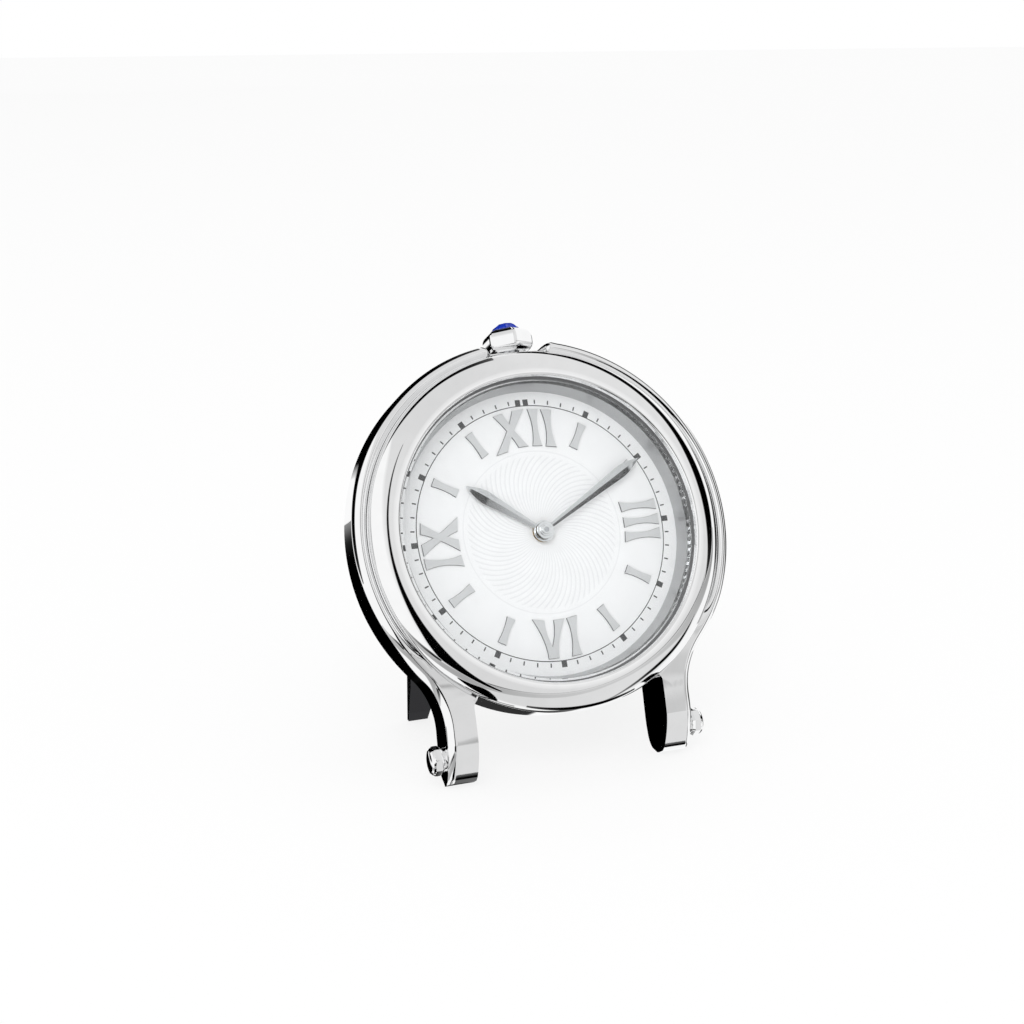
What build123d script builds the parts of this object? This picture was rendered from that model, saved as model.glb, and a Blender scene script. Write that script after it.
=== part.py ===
from build123d import *
import os
from math import atan2, cos, degrees, hypot, pi, radians, sin

# A table clock shaped like the head of a wrist watch. It leans back on its two
# lower lugs and on a hinged rear stand. Lengths are millimetres, angles degrees.
#
# Every piece is drawn in the dial's own frame: x to the viewer's right, y up
# the dial towards 12, z out of the dial towards the viewer, with z = 0 on the
# dial's face. stand_up() then leans the whole clock back and puts it on the
# ground, with +Z up and -Y towards the viewer.

# Attitude
lean = 27.7                  # how far the dial leans back from upright
stand_splay = 1.8            # how far the rear stand leans past upright

# Fits and cuts
overrun = 1.0                # how far every cut runs past what it cuts
press_gap = 0.02             # radial gap of pieces pressed or glued together
running_gap = 0.05           # radial gap of shafts that turn or slide
loose_gap = 0.1              # gap round pieces that are laid in place

# Bezel
rim_r = 27.55                # inner rim, round the crystal: the clock's main size
rim_z = 5.16
crest_width = 2.65           # from the inner rim out to the bezel's highest line
crest_z = 6.5
bezel_width = 5.15           # from the inner rim to the bezel's outer edge
bezel_edge_z = 3.6           # top of the bezel's thin outer edge
seat_width = 3.1             # how far the bezel lies on the case round its skirt
skirt_wall = 0.6             # skirt that snaps into the case
skirt_z = 1.0

# Case middle
bezel_edge_gap = 0.15        # round the bezel in its seat
recess_z = 3.0               # seat for the bezel in the case front
band_width = 2.45            # case band outside the bezel's seat
drum_inset = 0.5             # the case between the lugs, inside the bezel's edge
case_face_z = 3.6            # front face of the case
case_back_z = -8.3           # back rim of the case
flank_back_z = -3.8          # where the band's flank turns in to the back
back_turn_in = 4.3           # how far the band's back is turned in
edge_round = 1.1             # rounding of the front outer edge

# Lugs, which are the two front feet. A drop is a distance below the lowest
# point of the band's circle, and a rise is one above it.
lug_inner_share = 0.507      # inner face of each lug, as a share of the band's radius
lug_width = 5.25
lug_flare_r = 14.3           # hollow curve from the band into the flank
lug_notch_r = 1.5            # rounded top of the gap between lug and drum
lug_fall_rise = 18.0         # where the front face starts to fall back
lug_mid_rise = 6.7           # a place on that falling face
lug_mid_z = 1.3
lug_crease_drop = 0.1        # crease across the front of the lug
lug_crease_z = 0.5
lug_toe_drop = 5.2           # front lower edge
lug_toe_z = -2.6
lug_tip_drop = 6.5           # where the toe's chamfer meets the underside
lug_tip_z = -4.2
lug_drop = 6.6               # underside
lug_heel_r = 3.6             # round heel that the clock stands on
lug_back_z = -9.9            # back face low on the lug
lug_waist_drop = 0.8         # where that face starts to come forward
lug_nape_rise = 6.3          # top of the back face
lug_nape_z = -8.8

# Bevel down the outer back edge of each lug, as rows of the drop, how far in
# the bevel reaches on the back, its z on the flank and its z on the back
lug_bevel = [
    (-7.3, 3.3, -5.3, -8.75),
    (-2.5, 2.4, -6.8, -9.35),
    (3.0, 1.7, -8.1, -9.9),
    (8.2, 1.1, -9.3, -10.4),
]
lug_bevel_run = 7.0          # how far the bevel's cutter reaches past both edges
sole_depth = 0.15            # depth of the flat worn on each heel

# Crystal and flange ring
gasket_wall = 0.3
gasket_top_z = 4.7
crystal_top_z = 5.05
crystal_bevel = 0.35
flange_foot_width = 1.55     # flange ring at the dial, inside the bezel's rim
flange_top_width = 0.8       # flange ring at the crystal
crystal_seat_z = 3.0

# Dial and what is on it
track_inset = 2.0            # from the flange ring to the circle of the hour squares
dial_hours = 12
numeral_step = 3             # every third hour has a numeral
dial_thickness = 0.4
dial_hole_r = 1.9
numeral_height = 0.25
baton_outer_share = 0.912    # ends of the batons, as shares of track_r
baton_inner_share = 0.71
baton_end_share = 0.033      # half widths of the batons
baton_waist_share = 0.024

# Strokes of the numerals, as shares of track_r. Each stroke is its two ends,
# every end a left and a right corner, and the half width at its waist.
stroke_waist_share = 0.02
x_waist_share = 0.024
twelve_shares = [
    ((-0.243, 0.908), (-0.168, 0.925), (-0.080, 0.657), (-0.003, 0.662), x_waist_share),
    ((-0.088, 0.940), (0.006, 0.950), (-0.262, 0.610), (-0.172, 0.632), x_waist_share),
    ((0.035, 0.945), (0.118, 0.940), (0.034, 0.660), (0.108, 0.655), stroke_waist_share),
    ((0.140, 0.935), (0.225, 0.925), (0.138, 0.648), (0.220, 0.636), stroke_waist_share),
]
three_shares = [
    ((0.065, 0.943), (0.150, 0.938), (0.070, 0.658), (0.150, 0.646), stroke_waist_share),
    ((-0.044, 0.945), (0.040, 0.945), (-0.040, 0.660), (0.037, 0.660), stroke_waist_share),
    ((-0.160, 0.938), (-0.080, 0.943), (-0.160, 0.646), (-0.083, 0.658), stroke_waist_share),
]
six_shares = [
    ((-0.195, -0.645), (-0.103, -0.665), (-0.115, -0.950), (-0.035, -0.950), stroke_waist_share),
    ((-0.030, -0.670), (0.055, -0.668), (-0.112, -0.950), (-0.033, -0.950), stroke_waist_share),
    ((0.073, -0.668), (0.156, -0.655), (0.070, -0.952), (0.150, -0.944), stroke_waist_share),
]
nine_shares = [
    ((-0.188, 0.938), (-0.106, 0.945), (-0.190, 0.648), (-0.108, 0.660), stroke_waist_share),
    ((-0.084, 0.942), (0.000, 0.948), (0.072, 0.660), (0.176, 0.645), x_waist_share),
    ((0.078, 0.944), (0.158, 0.932), (-0.074, 0.662), (0.010, 0.662), x_waist_share),
]

# Hands, set to ten past ten
minute_clock_angle = 60.0
hour_clock_angle = 305.0
minute_hand_share = 0.971    # length, as a share of track_r
minute_hand_belly_share = 0.82   # where the hand is widest, as a share of its length
minute_hand_half_width = 1.12
hour_hand_share = 0.679
hour_hand_belly_share = 0.76
hour_hand_half_width = 1.25
hand_root_half_width = 0.38
hand_edge_height = 0.12
hand_ridge_height = 0.4
hour_hand_z = 0.7
minute_hand_z = 1.5
hour_hub_r = 1.95
minute_hub_r = 1.55
cap_r = 1.1
cap_height = 0.45
cap_hole_r = 0.3

# Movement plate and holder
plate_r = 18.0
plate_top_z = -0.6
plate_thickness = 2.4
holder_back_z = -7.45
holder_tab_depth = 0.7
holder_tab_width = 3.0
holder_tab_thickness = 1.1
holder_tab_count = 3
holder_tab_angle = 30.0
holder_pocket_share = 0.28   # radius of the pockets, as a share of the ring's width
holder_pocket_count = 10
holder_floor = 1.2

# Motion work, between the dial and the plate
motion_module = 0.3
cannon_teeth = 10
minute_teeth = 30
minute_pinion_teeth = 8
hour_teeth = 32
minute_wheel_angle = 135.0
pocket_floor_z = -2.2
wheel_thickness = 0.4
hour_wheel_z = -1.3
minute_pinion_top_z = -0.75
hour_tube_r = 1.5
hour_tube_top_z = 1.0
cannon_r = 0.85
cannon_top_z = 1.8
arbor_r = 0.45
post_r = 0.4

# Going train, between the plate and the bridge
train_module = 0.15
centre_teeth = 72
third_pinion_teeth = 8
third_teeth = 60
rotor_teeth = 6
third_wheel_angle = -45.0
rotor_angle = -100.0
centre_wheel_z = -3.7
third_wheel_z = -4.75
third_pinion_top_z = -3.2
rotor_magnet_r = 1.3
rotor_magnet_z = -4.15
rotor_magnet_top_z = -3.25
train_arbor_r = 0.3
pivot_r = 0.2
pivot_length = 0.5

# Tooth form, as shares of the half pitch and of the module
tooth_pitch_share = 0.36
tooth_tip_share = 0.16
tooth_root_share = 0.55
addendum_share = 0.7
dedendum_share = 1.2

# Bridge with its pillars and screws, each place an (x, y)
bridge_top_z = -5.2
bridge_thickness = 0.8
bridge_pad_r = 1.9
pillar_r = 1.2
pillar_left = (-5.5, 5.0)
pillar_right = (10.5, -1.5)
pillar_low = (-3.0, -8.0)
screw_r = 0.5
screw_head_r = 0.95
screw_head_height = 0.4
screw_slot_width = 0.25
screw_slot_depth = 0.2
screw_turns = (0.0, 40.0, 110.0)

# Motor, circuit and battery
stator_thickness = 0.6
stator_top_z = -3.4
stator_ring_r = 2.9
stator_hole_r = 1.7
stator_foot_r = 1.1
core_y = -13.4
core_left_x = -3.6
core_right_x = 9.4
core_width = 1.2
coil_r = 1.2
coil_left_x = -0.1
coil_right_x = 5.9
board_outline = [(1.0, 8.0), (12.0, 4.0), (15.2, 6.5), (8.5, 14.6), (1.0, 16.3)]
board_thickness = 0.5
chip_place = (4.6, 11.4)
chip_side = 3.2
chip_height = 0.7
resonator_place = (10.4, 8.4)
resonator_angle = -48.0
resonator_r = 0.95
resonator_length = 5.6
battery_place = (-10.6, -4.8)
battery_r = 4.75
battery_thickness = 2.7
strap_width = 2.4
strap_thickness = 0.25
strap_reach = 3.2            # past the battery's centre on the free side
strap_foot_gap = 0.9         # from the battery's edge to the strap's foot
strap_foot = 0.8

# Crown, stem and setting parts, on an axis that runs up the dial
crown_axis_z = -1.4
crown_sink = 1.05            # how far the crown's base is sunk below the band's top
crown_base_r = 3.95
crown_belly_rise = 1.95      # heights above the crown's base
crown_belly_r = 4.72
crown_shoulder_rise = 3.45
crown_shoulder_r = 4.1
crown_height = 3.8
crown_top_r = 3.4
crown_flats = 6
crown_rest_turn = 30.0       # how far the crown is turned at rest, in degrees
crown_flat_r = 4.15
crown_hollow_depth = 1.6
crown_notch_half = 5.1       # half width of the gap in the band for the crown
crown_notch_depth = 1.9
crown_notch_round = 1.0
stone_r = 2.75
stone_height = 1.4
stone_facets = 8
stone_table_taper = 40.0
stone_facet_taper = 30.0
stone_seat_depth = 0.4
tube_r = 1.9
tube_bore_r = 0.95
tube_inner_reach = 0.6       # how far the tube stands into the case
tube_outer_sink = 0.1        # how far its outer end is below the band's top
seal_wall = 0.4
seal_height = 0.6
crown_pull = 1.2
stem_thin_r = 0.6
stem_tail_y = 8.0
stem_thread_depth = 1.0
stem_square = 0.8
stem_square_top_y = 11.5
stem_groove_r = 0.35
clip_y = 13.0
clip_thickness = 0.3
clip_width = 3.0
setting_pinion_r = 0.95
setting_pinion_y = 8.9
setting_pinion_length = 1.8
setting_pinion_teeth = 9
setting_groove_share = 0.15

# Case back
back_thickness = 0.8
back_rim_width = 0.2         # case left showing round the case back
back_chamfer = 0.4
spigot_height = 0.8
back_gasket_wall = 0.63
pry_notch_width = 6.0
pry_notch_depth = 1.0

# Studs on the lugs
stud_drop = 2.0
stud_z = -4.2
stud_collar_r = 2.1
stud_collar_height = 0.5
stud_head_r = 2.65
stud_head_height = 2.6
stud_side_taper = 14.0
stud_crown_taper = 38.0
stud_shank_r = 0.9
stud_shank_length = 3.0
stud_facets = 8

# Rear stand and its hinge
hinge_y = 8.9
hinge_lift = 1.9             # hinge axis behind the case back
knuckle_r = 1.6
hinge_pin_r = 0.75
hinge_pin_head_r = 1.25
hinge_pin_head = 0.4
bracket_half = 6.9
knuckle_gap = 0.15
knuckle_width = 5.8
bracket_plate = 0.9
bracket_plate_top = 8.6      # top of the bracket's plate above the hinge axis
bracket_screw_x = 4.2
bracket_screw_y = 5.4        # screws above the hinge axis
bracket_screw_r = 0.8
bracket_screw_head_r = 1.5
bracket_screw_length = 1.5
stand_half = 21.0            # outside of the stand's two legs
stand_thickness = 2.4
stand_shoulder_y = -16.0     # below the hinge axis, where the legs run straight
stand_web_y = -2.6           # top of the web below the hinge axis
stand_foot_inner = 17.5      # inside of the legs at the ground
arch_spring_y = -13.0        # where the arch between the legs closes
arch_half = 9.0
arch_rise = 6.0
foot_taper_height = 8.0      # the foot's front face falls back from here
foot_thickness = 1.1
toe_height = 1.7
toe_thickness = 0.8
stop_length = 3.2            # heel that meets the case back when it is open
stop_root = 1.4
stop_gap = 0.04

# Sizes that follow from the ones above: bezel and case
crest_r = rim_r + crest_width
bezel_r = rim_r + bezel_width
recess_r = bezel_r + bezel_edge_gap
band_r = recess_r + band_width
drum_r = bezel_r - drum_inset
bore_r = bezel_r - seat_width
back_rim_r = band_r - back_turn_in
back_r = back_rim_r - back_rim_width
bezel_skirt_r = bore_r - running_gap
skirt_inner_r = bezel_skirt_r - skirt_wall

# Lugs and studs
lug_inner_x = lug_inner_share * band_r
lug_outer_x = lug_inner_x + lug_width
lug_fall_y = lug_fall_rise - band_r
lug_mid_y = lug_mid_rise - band_r
lug_crease_y = -band_r - lug_crease_drop
lug_toe_y = -band_r - lug_toe_drop
lug_tip_y = -band_r - lug_tip_drop
lug_bottom_y = -band_r - lug_drop
lug_waist_y = -band_r - lug_waist_drop
lug_nape_y = lug_nape_rise - band_r
stud_y = -band_r - stud_drop

# Dial, crystal and hands
dial_r = skirt_inner_r - loose_gap
crystal_r = rim_r - gasket_wall
flange_foot_r = rim_r - flange_foot_width
flange_top_r = rim_r - flange_top_width
track_r = flange_foot_r - track_inset
minute_hand_length = minute_hand_share * track_r
hour_hand_length = hour_hand_share * track_r

# Crown and tube
crown_base_y = band_r - crown_sink
crown_belly_y = crown_base_y + crown_belly_rise
crown_shoulder_y = crown_base_y + crown_shoulder_rise
crown_top_y = crown_base_y + crown_height
crown_notch_y = band_r - crown_notch_depth
tube_inner_y = bore_r - tube_inner_reach
tube_outer_y = band_r - tube_outer_sink

# Movement, flare of the lugs, and stand
plate_back_z = plate_top_z - plate_thickness
motion_distance = motion_module * (cannon_teeth + minute_teeth) / 2
third_distance = train_module * (centre_teeth + third_pinion_teeth) / 2
rotor_distance = train_module * (third_teeth + rotor_teeth) / 2
outer_back_z = case_back_z - back_thickness
hinge_z = outer_back_z - hinge_lift
flare_x = lug_outer_x + lug_flare_r
flare_y = -((band_r + lug_flare_r) ** 2 - flare_x**2) ** 0.5
flare_turn = degrees(atan2(flare_y, flare_x))
stand_angle = lean + stand_splay
ground_height = (
    (lug_bottom_y + lug_heel_r) * cos(radians(lean))
    + (lug_back_z + lug_heel_r) * sin(radians(lean))
    - lug_heel_r + sole_depth
)
hinge_height = hinge_y * cos(radians(lean)) + hinge_z * sin(radians(lean)) - ground_height
stand_length = hinge_height / cos(radians(stand_splay))


def polar(distance, angle, start=(0, 0)):
    """The point at a distance and an angle from a start point."""
    return (
        start[0] + distance * cos(radians(angle)),
        start[1] + distance * sin(radians(angle)),
    )


minute_arbor = polar(motion_distance, minute_wheel_angle)
third_arbor = polar(third_distance, third_wheel_angle)
rotor_arbor = polar(rotor_distance, rotor_angle, third_arbor)


def rod_z(radius, low, high, place=(0, 0)):
    """A round bar along the dial's axis."""
    bar = Cylinder(radius, high - low, align=(Align.CENTER, Align.CENTER, Align.MIN))
    return Pos(place[0], place[1], low) * bar


def rod_y(radius, low, high, z=crown_axis_z):
    """A round bar along the crown's axis."""
    bar = Cylinder(radius, high - low, align=(Align.CENTER, Align.CENTER, Align.MIN))
    return Pos(0, low, z) * Rot(-90, 0, 0) * bar


def rod_x(radius, low, high, y, z):
    """A round bar from one side of the clock to the other."""
    bar = Cylinder(radius, high - low, align=(Align.CENTER, Align.CENTER, Align.MIN))
    return Pos(low, y, z) * Rot(0, 90, 0) * bar


def block(x_span, y_span, z_span):
    """A square block between three pairs of limits."""
    size = [span[1] - span[0] for span in (x_span, y_span, z_span)]
    centre = [(span[1] + span[0]) / 2 for span in (x_span, y_span, z_span)]
    return Pos(*centre) * Box(*size)


def turned(outline):
    """A ring turned about the dial's axis from (radius, height) points."""
    points = [(radius, 0, height) for radius, height in outline]
    return revolve(make_face(Polyline(points, close=True)), Axis.Z)


def side_plate(outline, low_x, high_x):
    """A plate cut to an outline of (y, z) points, between two sides."""
    points = [(0, y, z) for y, z in outline]
    face = make_face(Polyline(points, close=True))
    return Pos(low_x, 0, 0) * extrude(face, high_x - low_x, dir=(1, 0, 0))


def ring_pattern(count, start=0.0):
    """Equally spaced angles round a circle."""
    return [start + 360 * step / count for step in range(count)]


def outline_half():
    """The case's right half from the front, with its lug."""
    meet = polar(band_r, flare_turn)
    middle = polar(lug_flare_r, 180 + flare_turn / 2, (flare_x, flare_y))
    low_y = lug_bottom_y - overrun
    edges = [
        Line((lug_inner_x, low_y), (lug_outer_x, low_y)),
        Line((lug_outer_x, low_y), (lug_outer_x, flare_y)),
        ThreePointArc((lug_outer_x, flare_y), middle, meet),
        Line(meet, (lug_inner_x, 0)),
        Line((lug_inner_x, 0), (lug_inner_x, low_y)),
    ]
    return make_face(Wire(edges))


def case_outline():
    """The whole case from the front: band, drum and both lugs."""
    gap = Pos(0, -band_r) * Rectangle(2 * lug_inner_x, 2 * band_r)
    lug = outline_half()
    outline = Circle(band_r) - gap + lug + mirror(lug, Plane.YZ) + Circle(drum_r)
    corners = [
        vertex for vertex in outline.vertices()
        if abs(abs(vertex.X) - lug_inner_x) < running_gap
        and lug_nape_y - lug_notch_r < vertex.Y < 0
    ]
    return fillet(corners, lug_notch_r)


def crown_notch():
    """What is cut from the band for the crown, with the band's ends left round."""
    half = crown_notch_half + crown_notch_round
    top = band_r + overrun
    cut = Pos(0, (crown_notch_y + top) / 2) * Rectangle(2 * half, top - crown_notch_y)
    for side in (-1, 1):
        end = Pos(side * half, crown_notch_y) * Circle(crown_notch_round)
        cut = cut - end
    return Pos(0, 0, -band_r) * extrude(cut, 2 * band_r)


def case_side():
    """The case's depth seen from the side, with the lug's falling front and heel."""
    heel_y = lug_bottom_y + lug_heel_r
    heel_z = lug_back_z + lug_heel_r
    heel_mid = polar(lug_heel_r, -135, (heel_y, heel_z))
    top = band_r + overrun
    fall = ThreePointArc(
        (0, lug_fall_y, case_face_z), (0, lug_mid_y, lug_mid_z), (0, lug_crease_y, lug_crease_z)
    )
    edges = [
        Line((0, top, case_face_z), (0, lug_fall_y, case_face_z)),
        fall,
        Line((0, lug_crease_y, lug_crease_z), (0, lug_toe_y, lug_toe_z)),
        Line((0, lug_toe_y, lug_toe_z), (0, lug_tip_y, lug_tip_z)),
        Line((0, lug_tip_y, lug_tip_z), (0, lug_bottom_y, heel_z)),
        ThreePointArc((0, lug_bottom_y, heel_z), (0, *heel_mid), (0, heel_y, lug_back_z)),
        Line((0, heel_y, lug_back_z), (0, lug_waist_y, lug_back_z)),
        Line((0, lug_waist_y, lug_back_z), (0, lug_nape_y, lug_nape_z)),
        Line((0, lug_nape_y, lug_nape_z), (0, lug_fall_y, case_back_z)),
        Line((0, lug_fall_y, case_back_z), (0, top, case_back_z)),
        Line((0, top, case_back_z), (0, top, case_face_z)),
    ]
    face = make_face(Wire(edges))
    return Pos(-band_r - overrun, 0, 0) * extrude(face, 2 * (band_r + overrun), dir=(1, 0, 0))


def front_edges(body):
    """The edges that run round the front of the band and down each lug's flank."""
    found = []
    for edge in body.edges():
        start, middle, end = (edge.position_at(share) for share in (0, 0.5, 1))
        on_front = min(start.Z, end.Z) > lug_toe_z - running_gap and middle.Y > lug_toe_y
        upright = abs(start.Z - end.Z) > lug_outer_x - lug_inner_x
        across = abs(start.X - end.X) > lug_heel_r and middle.Y < lug_crease_y
        outside = abs(middle.X) > lug_outer_x - running_gap
        on_band = hypot(middle.X, middle.Y) > band_r - running_gap
        if on_front and not upright and not across and (on_band or outside):
            found.append(edge)
    return found


def bevel_section(drop, inset, flank_z, back_z):
    """What the bevel takes off across the lug's outer edge at one place."""
    y = -band_r - drop
    rise = max(0, y - flare_y)
    hollow = (lug_flare_r**2 - rise**2) ** 0.5
    out = Vector(hollow, -rise, 0).normalized()
    on_flank = Vector(flare_x - hollow, y, flank_z)
    on_back = Vector(flare_x - hollow, y, back_z) - out * inset
    slope = (on_flank - on_back).normalized() * lug_bevel_run
    high = on_flank + slope
    low = on_back - slope
    corner = Vector(high.X, high.Y, low.Z)
    return make_face(Polyline(high, low, corner, close=True))


def lug_back_cut():
    """The bevel down the right lug's outer back edge, from the band to the heel."""
    meet_drop = -band_r - polar(band_r, flare_turn)[1]
    rows = [(meet_drop, back_turn_in, flank_back_z, case_back_z)] + lug_bevel
    return loft([bevel_section(*row) for row in rows], ruled=True)


def back_cut():
    """The cone that the band's back is turned to, left off where the lugs start."""
    cone = turned([
        (back_rim_r, case_back_z), (band_r, flank_back_z),
        (band_r + overrun, flank_back_z), (band_r + overrun, lug_back_z - overrun),
        (back_rim_r, lug_back_z - overrun),
    ])
    far = polar(2 * band_r, flare_turn)
    near = (lug_inner_x, lug_inner_x * far[1] / far[0])
    root = make_face(Polyline(near, far, (far[0], -far[0]), (lug_inner_x, -far[0]), close=True))
    root = Pos(0, 0, lug_back_z - 2 * overrun) * extrude(root, band_r)
    return cone - root - mirror(root, Plane.YZ)


def case_middle():
    """The case: a horseshoe band and its two lugs round a drum, in one piece."""
    body = extrude(case_outline(), 2 * band_r)
    body = Pos(0, 0, -band_r) * body & case_side()
    body = fillet(front_edges(body), edge_round) + rod_z(drum_r, case_back_z, recess_z)
    bevel = lug_back_cut()
    body = body - back_cut() - bevel - mirror(bevel, Plane.YZ)
    body = body - rod_z(bore_r, lug_back_z - overrun, case_face_z + overrun)
    body = body - rod_z(back_r + loose_gap, lug_back_z - overrun, case_back_z)
    body = body - rod_z(recess_r, recess_z, case_face_z + overrun)
    body = body - rod_y(tube_r + press_gap, bore_r - overrun, band_r + overrun)
    body = body - crown_notch()
    for side in (-1, 1):
        root_x = side * (lug_outer_x - stud_shank_length - press_gap)
        tip_x = side * (lug_outer_x + overrun)
        hole = rod_x(
            stud_shank_r + press_gap, min(root_x, tip_x), max(root_x, tip_x), stud_y, stud_z
        )
        body = body - hole
    return body


def bezel():
    """The polished bezel: a domed ring with a skirt that snaps into the case."""
    edges = [
        Line((rim_r, 0, recess_z), (rim_r, 0, rim_z)),
        ThreePointArc((rim_r, 0, rim_z), (crest_r, 0, crest_z), (bezel_r, 0, bezel_edge_z)),
        Line((bezel_r, 0, bezel_edge_z), (bezel_r, 0, recess_z)),
        Line((bezel_r, 0, recess_z), (bezel_skirt_r, 0, recess_z)),
        Line((bezel_skirt_r, 0, recess_z), (bezel_skirt_r, 0, skirt_z)),
        Line((bezel_skirt_r, 0, skirt_z), (skirt_inner_r, 0, skirt_z)),
        Line((skirt_inner_r, 0, skirt_z), (skirt_inner_r, 0, recess_z)),
        Line((skirt_inner_r, 0, recess_z), (rim_r, 0, recess_z)),
    ]
    return revolve(make_face(Wire(edges)), Axis.Z)


def crystal():
    """The flat crystal, with a small bevel round its front edge."""
    return turned([
        (0, crystal_seat_z), (crystal_r, crystal_seat_z),
        (crystal_r, crystal_top_z - crystal_bevel), (crystal_r - crystal_bevel, crystal_top_z),
        (0, crystal_top_z),
    ])


def crystal_gasket():
    """The clear ring that holds the crystal in the bezel."""
    return turned([
        (crystal_r, crystal_seat_z), (rim_r, crystal_seat_z),
        (rim_r, gasket_top_z), (crystal_r, gasket_top_z),
    ])


def flange_ring():
    """The sloping ring between the dial and the crystal."""
    return turned([
        (flange_foot_r, 0), (dial_r, 0), (dial_r, crystal_seat_z), (flange_top_r, crystal_seat_z),
    ])


def dial():
    """The dial, a plain disc here, with its hole for the hands."""
    return rod_z(dial_r, -dial_thickness, 0) - rod_z(
        dial_hole_r, -dial_thickness - overrun, overrun
    )


def stroke(shape):
    """One stroke of a numeral: straight ends and sides that are drawn in at the waist."""
    corners = [Vector(x * track_r, y * track_r) for x, y in shape[:-1]]
    top_left, top_right, low_left, low_right = corners
    waist = shape[-1] * track_r
    centre = (top_left + top_right + low_left + low_right) / len(corners)
    along = (top_left + top_right - low_left - low_right).normalized()
    across = Vector(along.Y, -along.X) * waist
    left = min((centre + across, centre - across), key=lambda point: (point - top_left).length
               + (point - low_left).length)
    right = centre * 2 - left
    edges = [
        Line(top_left, top_right),
        ThreePointArc(top_right, right, low_right),
        Line(low_right, low_left),
        ThreePointArc(low_left, left, top_left),
    ]
    return make_face(Wire(edges))


def raised_on_dial(face):
    """A flat shape, cut from sheet and laid on the dial."""
    return extrude(face, numeral_height)


def numerals():
    """The four applied Roman numerals, at 12, 3, 6 and 9."""
    solids = []
    for shapes, turn in (
        (twelve_shares, 0), (three_shares, -90), (six_shares, 0), (nine_shares, 90),
    ):
        letters = Sketch() + [stroke(shape) for shape in shapes]
        solids += [Rot(0, 0, turn) * solid for solid in raised_on_dial(letters).solids()]
    return Compound(solids)


def batons():
    """The applied batons at the other eight hours."""
    ends = baton_end_share
    shape = (
        (-ends, baton_outer_share), (ends, baton_outer_share),
        (-ends, baton_inner_share), (ends, baton_inner_share), baton_waist_share,
    )
    baton = raised_on_dial(stroke(shape))
    hours = enumerate(ring_pattern(dial_hours))
    return Compound([Rot(0, 0, angle) * baton for hour, angle in hours if hour % numeral_step])


def hand(length, belly, half_width, hub_r, hole_r, low_z, clock_angle):
    """A leaf-shaped hand with a ridge down its middle, and its round hub."""
    side = [
        (0, 0), (hand_root_half_width, 0), (half_width, belly * length), (0, length),
        (-half_width, belly * length), (-hand_root_half_width, 0),
    ]
    blade = extrude(make_face(Polyline(side, close=True)), hand_ridge_height)
    roof = [
        (-half_width - overrun, 0, 0), (half_width + overrun, 0, 0),
        (half_width + overrun, 0, hand_edge_height), (half_width, 0, hand_edge_height),
        (0, 0, hand_ridge_height), (-half_width, 0, hand_edge_height),
        (-half_width - overrun, 0, hand_edge_height),
    ]
    face = make_face(Polyline(roof, close=True))
    blade = blade & extrude(face, length + overrun, dir=(0, 1, 0))
    hub = rod_z(hub_r, 0, hand_ridge_height)
    whole = blade + hub - rod_z(hole_r, -overrun, hand_ridge_height + overrun)
    return Pos(0, 0, low_z) * Rot(0, 0, -clock_angle) * whole


def hour_hand():
    """The short hand, pressed on the hour wheel's tube."""
    return hand(
        hour_hand_length, hour_hand_belly_share, hour_hand_half_width, hour_hub_r,
        hour_tube_r + press_gap, hour_hand_z, hour_clock_angle,
    )


def minute_hand():
    """The long hand, pressed on the cannon pinion."""
    return hand(
        minute_hand_length, minute_hand_belly_share, minute_hand_half_width, minute_hub_r,
        cannon_r + press_gap, minute_hand_z, minute_clock_angle,
    )


def hand_cap():
    """The stepped cap over the minute hand's hub, with the arbor showing in it."""
    low = minute_hand_z + hand_ridge_height
    return turned([
        (arbor_r + press_gap, low), (cap_r, low), (cap_r, low + cap_height / 2),
        (cap_r - cap_hole_r, low + cap_height), (arbor_r + press_gap, low + cap_height),
    ])


def toothed(teeth, module, height, bore, tooth_angle=0.0):
    """A straight-toothed wheel standing on z = 0, with a tooth at the angle given."""
    pitch_r = module * teeth / 2
    tip_r = pitch_r + addendum_share * module
    root_r = pitch_r - dedendum_share * module
    half = 180 / teeth
    points = []
    for middle in ring_pattern(teeth, tooth_angle):
        points.append(polar(root_r, middle - tooth_root_share * half))
        points.append(polar(pitch_r, middle - tooth_pitch_share * half))
        points.append(polar(tip_r, middle - tooth_tip_share * half))
        points.append(polar(tip_r, middle + tooth_tip_share * half))
        points.append(polar(pitch_r, middle + tooth_pitch_share * half))
        points.append(polar(root_r, middle + tooth_root_share * half))
    wheel = extrude(make_face(Polyline(points, close=True)), height)
    if bore:
        wheel = wheel - rod_z(bore, -overrun, height + overrun)
    return wheel


def cannon_pinion():
    """The small wheel that carries the minute hand, tight on the centre arbor."""
    low = pocket_floor_z + loose_gap
    teeth = toothed(
        cannon_teeth, motion_module, wheel_thickness, arbor_r + press_gap, minute_wheel_angle
    )
    tube = rod_z(cannon_r, low, cannon_top_z) - rod_z(
        arbor_r + press_gap, low - overrun, cannon_top_z + overrun
    )
    return Pos(0, 0, low) * teeth + tube


def hour_wheel():
    """The wheel and tube that carry the hour hand, loose on the cannon pinion."""
    gap_angle = minute_wheel_angle + 180 / hour_teeth
    bore = cannon_r + running_gap
    wheel = toothed(hour_teeth, motion_module, wheel_thickness, bore, gap_angle)
    tube = rod_z(hour_tube_r, hour_wheel_z, hour_tube_top_z) - rod_z(
        bore, hour_wheel_z - overrun, hour_tube_top_z + overrun
    )
    return Pos(0, 0, hour_wheel_z) * wheel + tube


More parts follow.
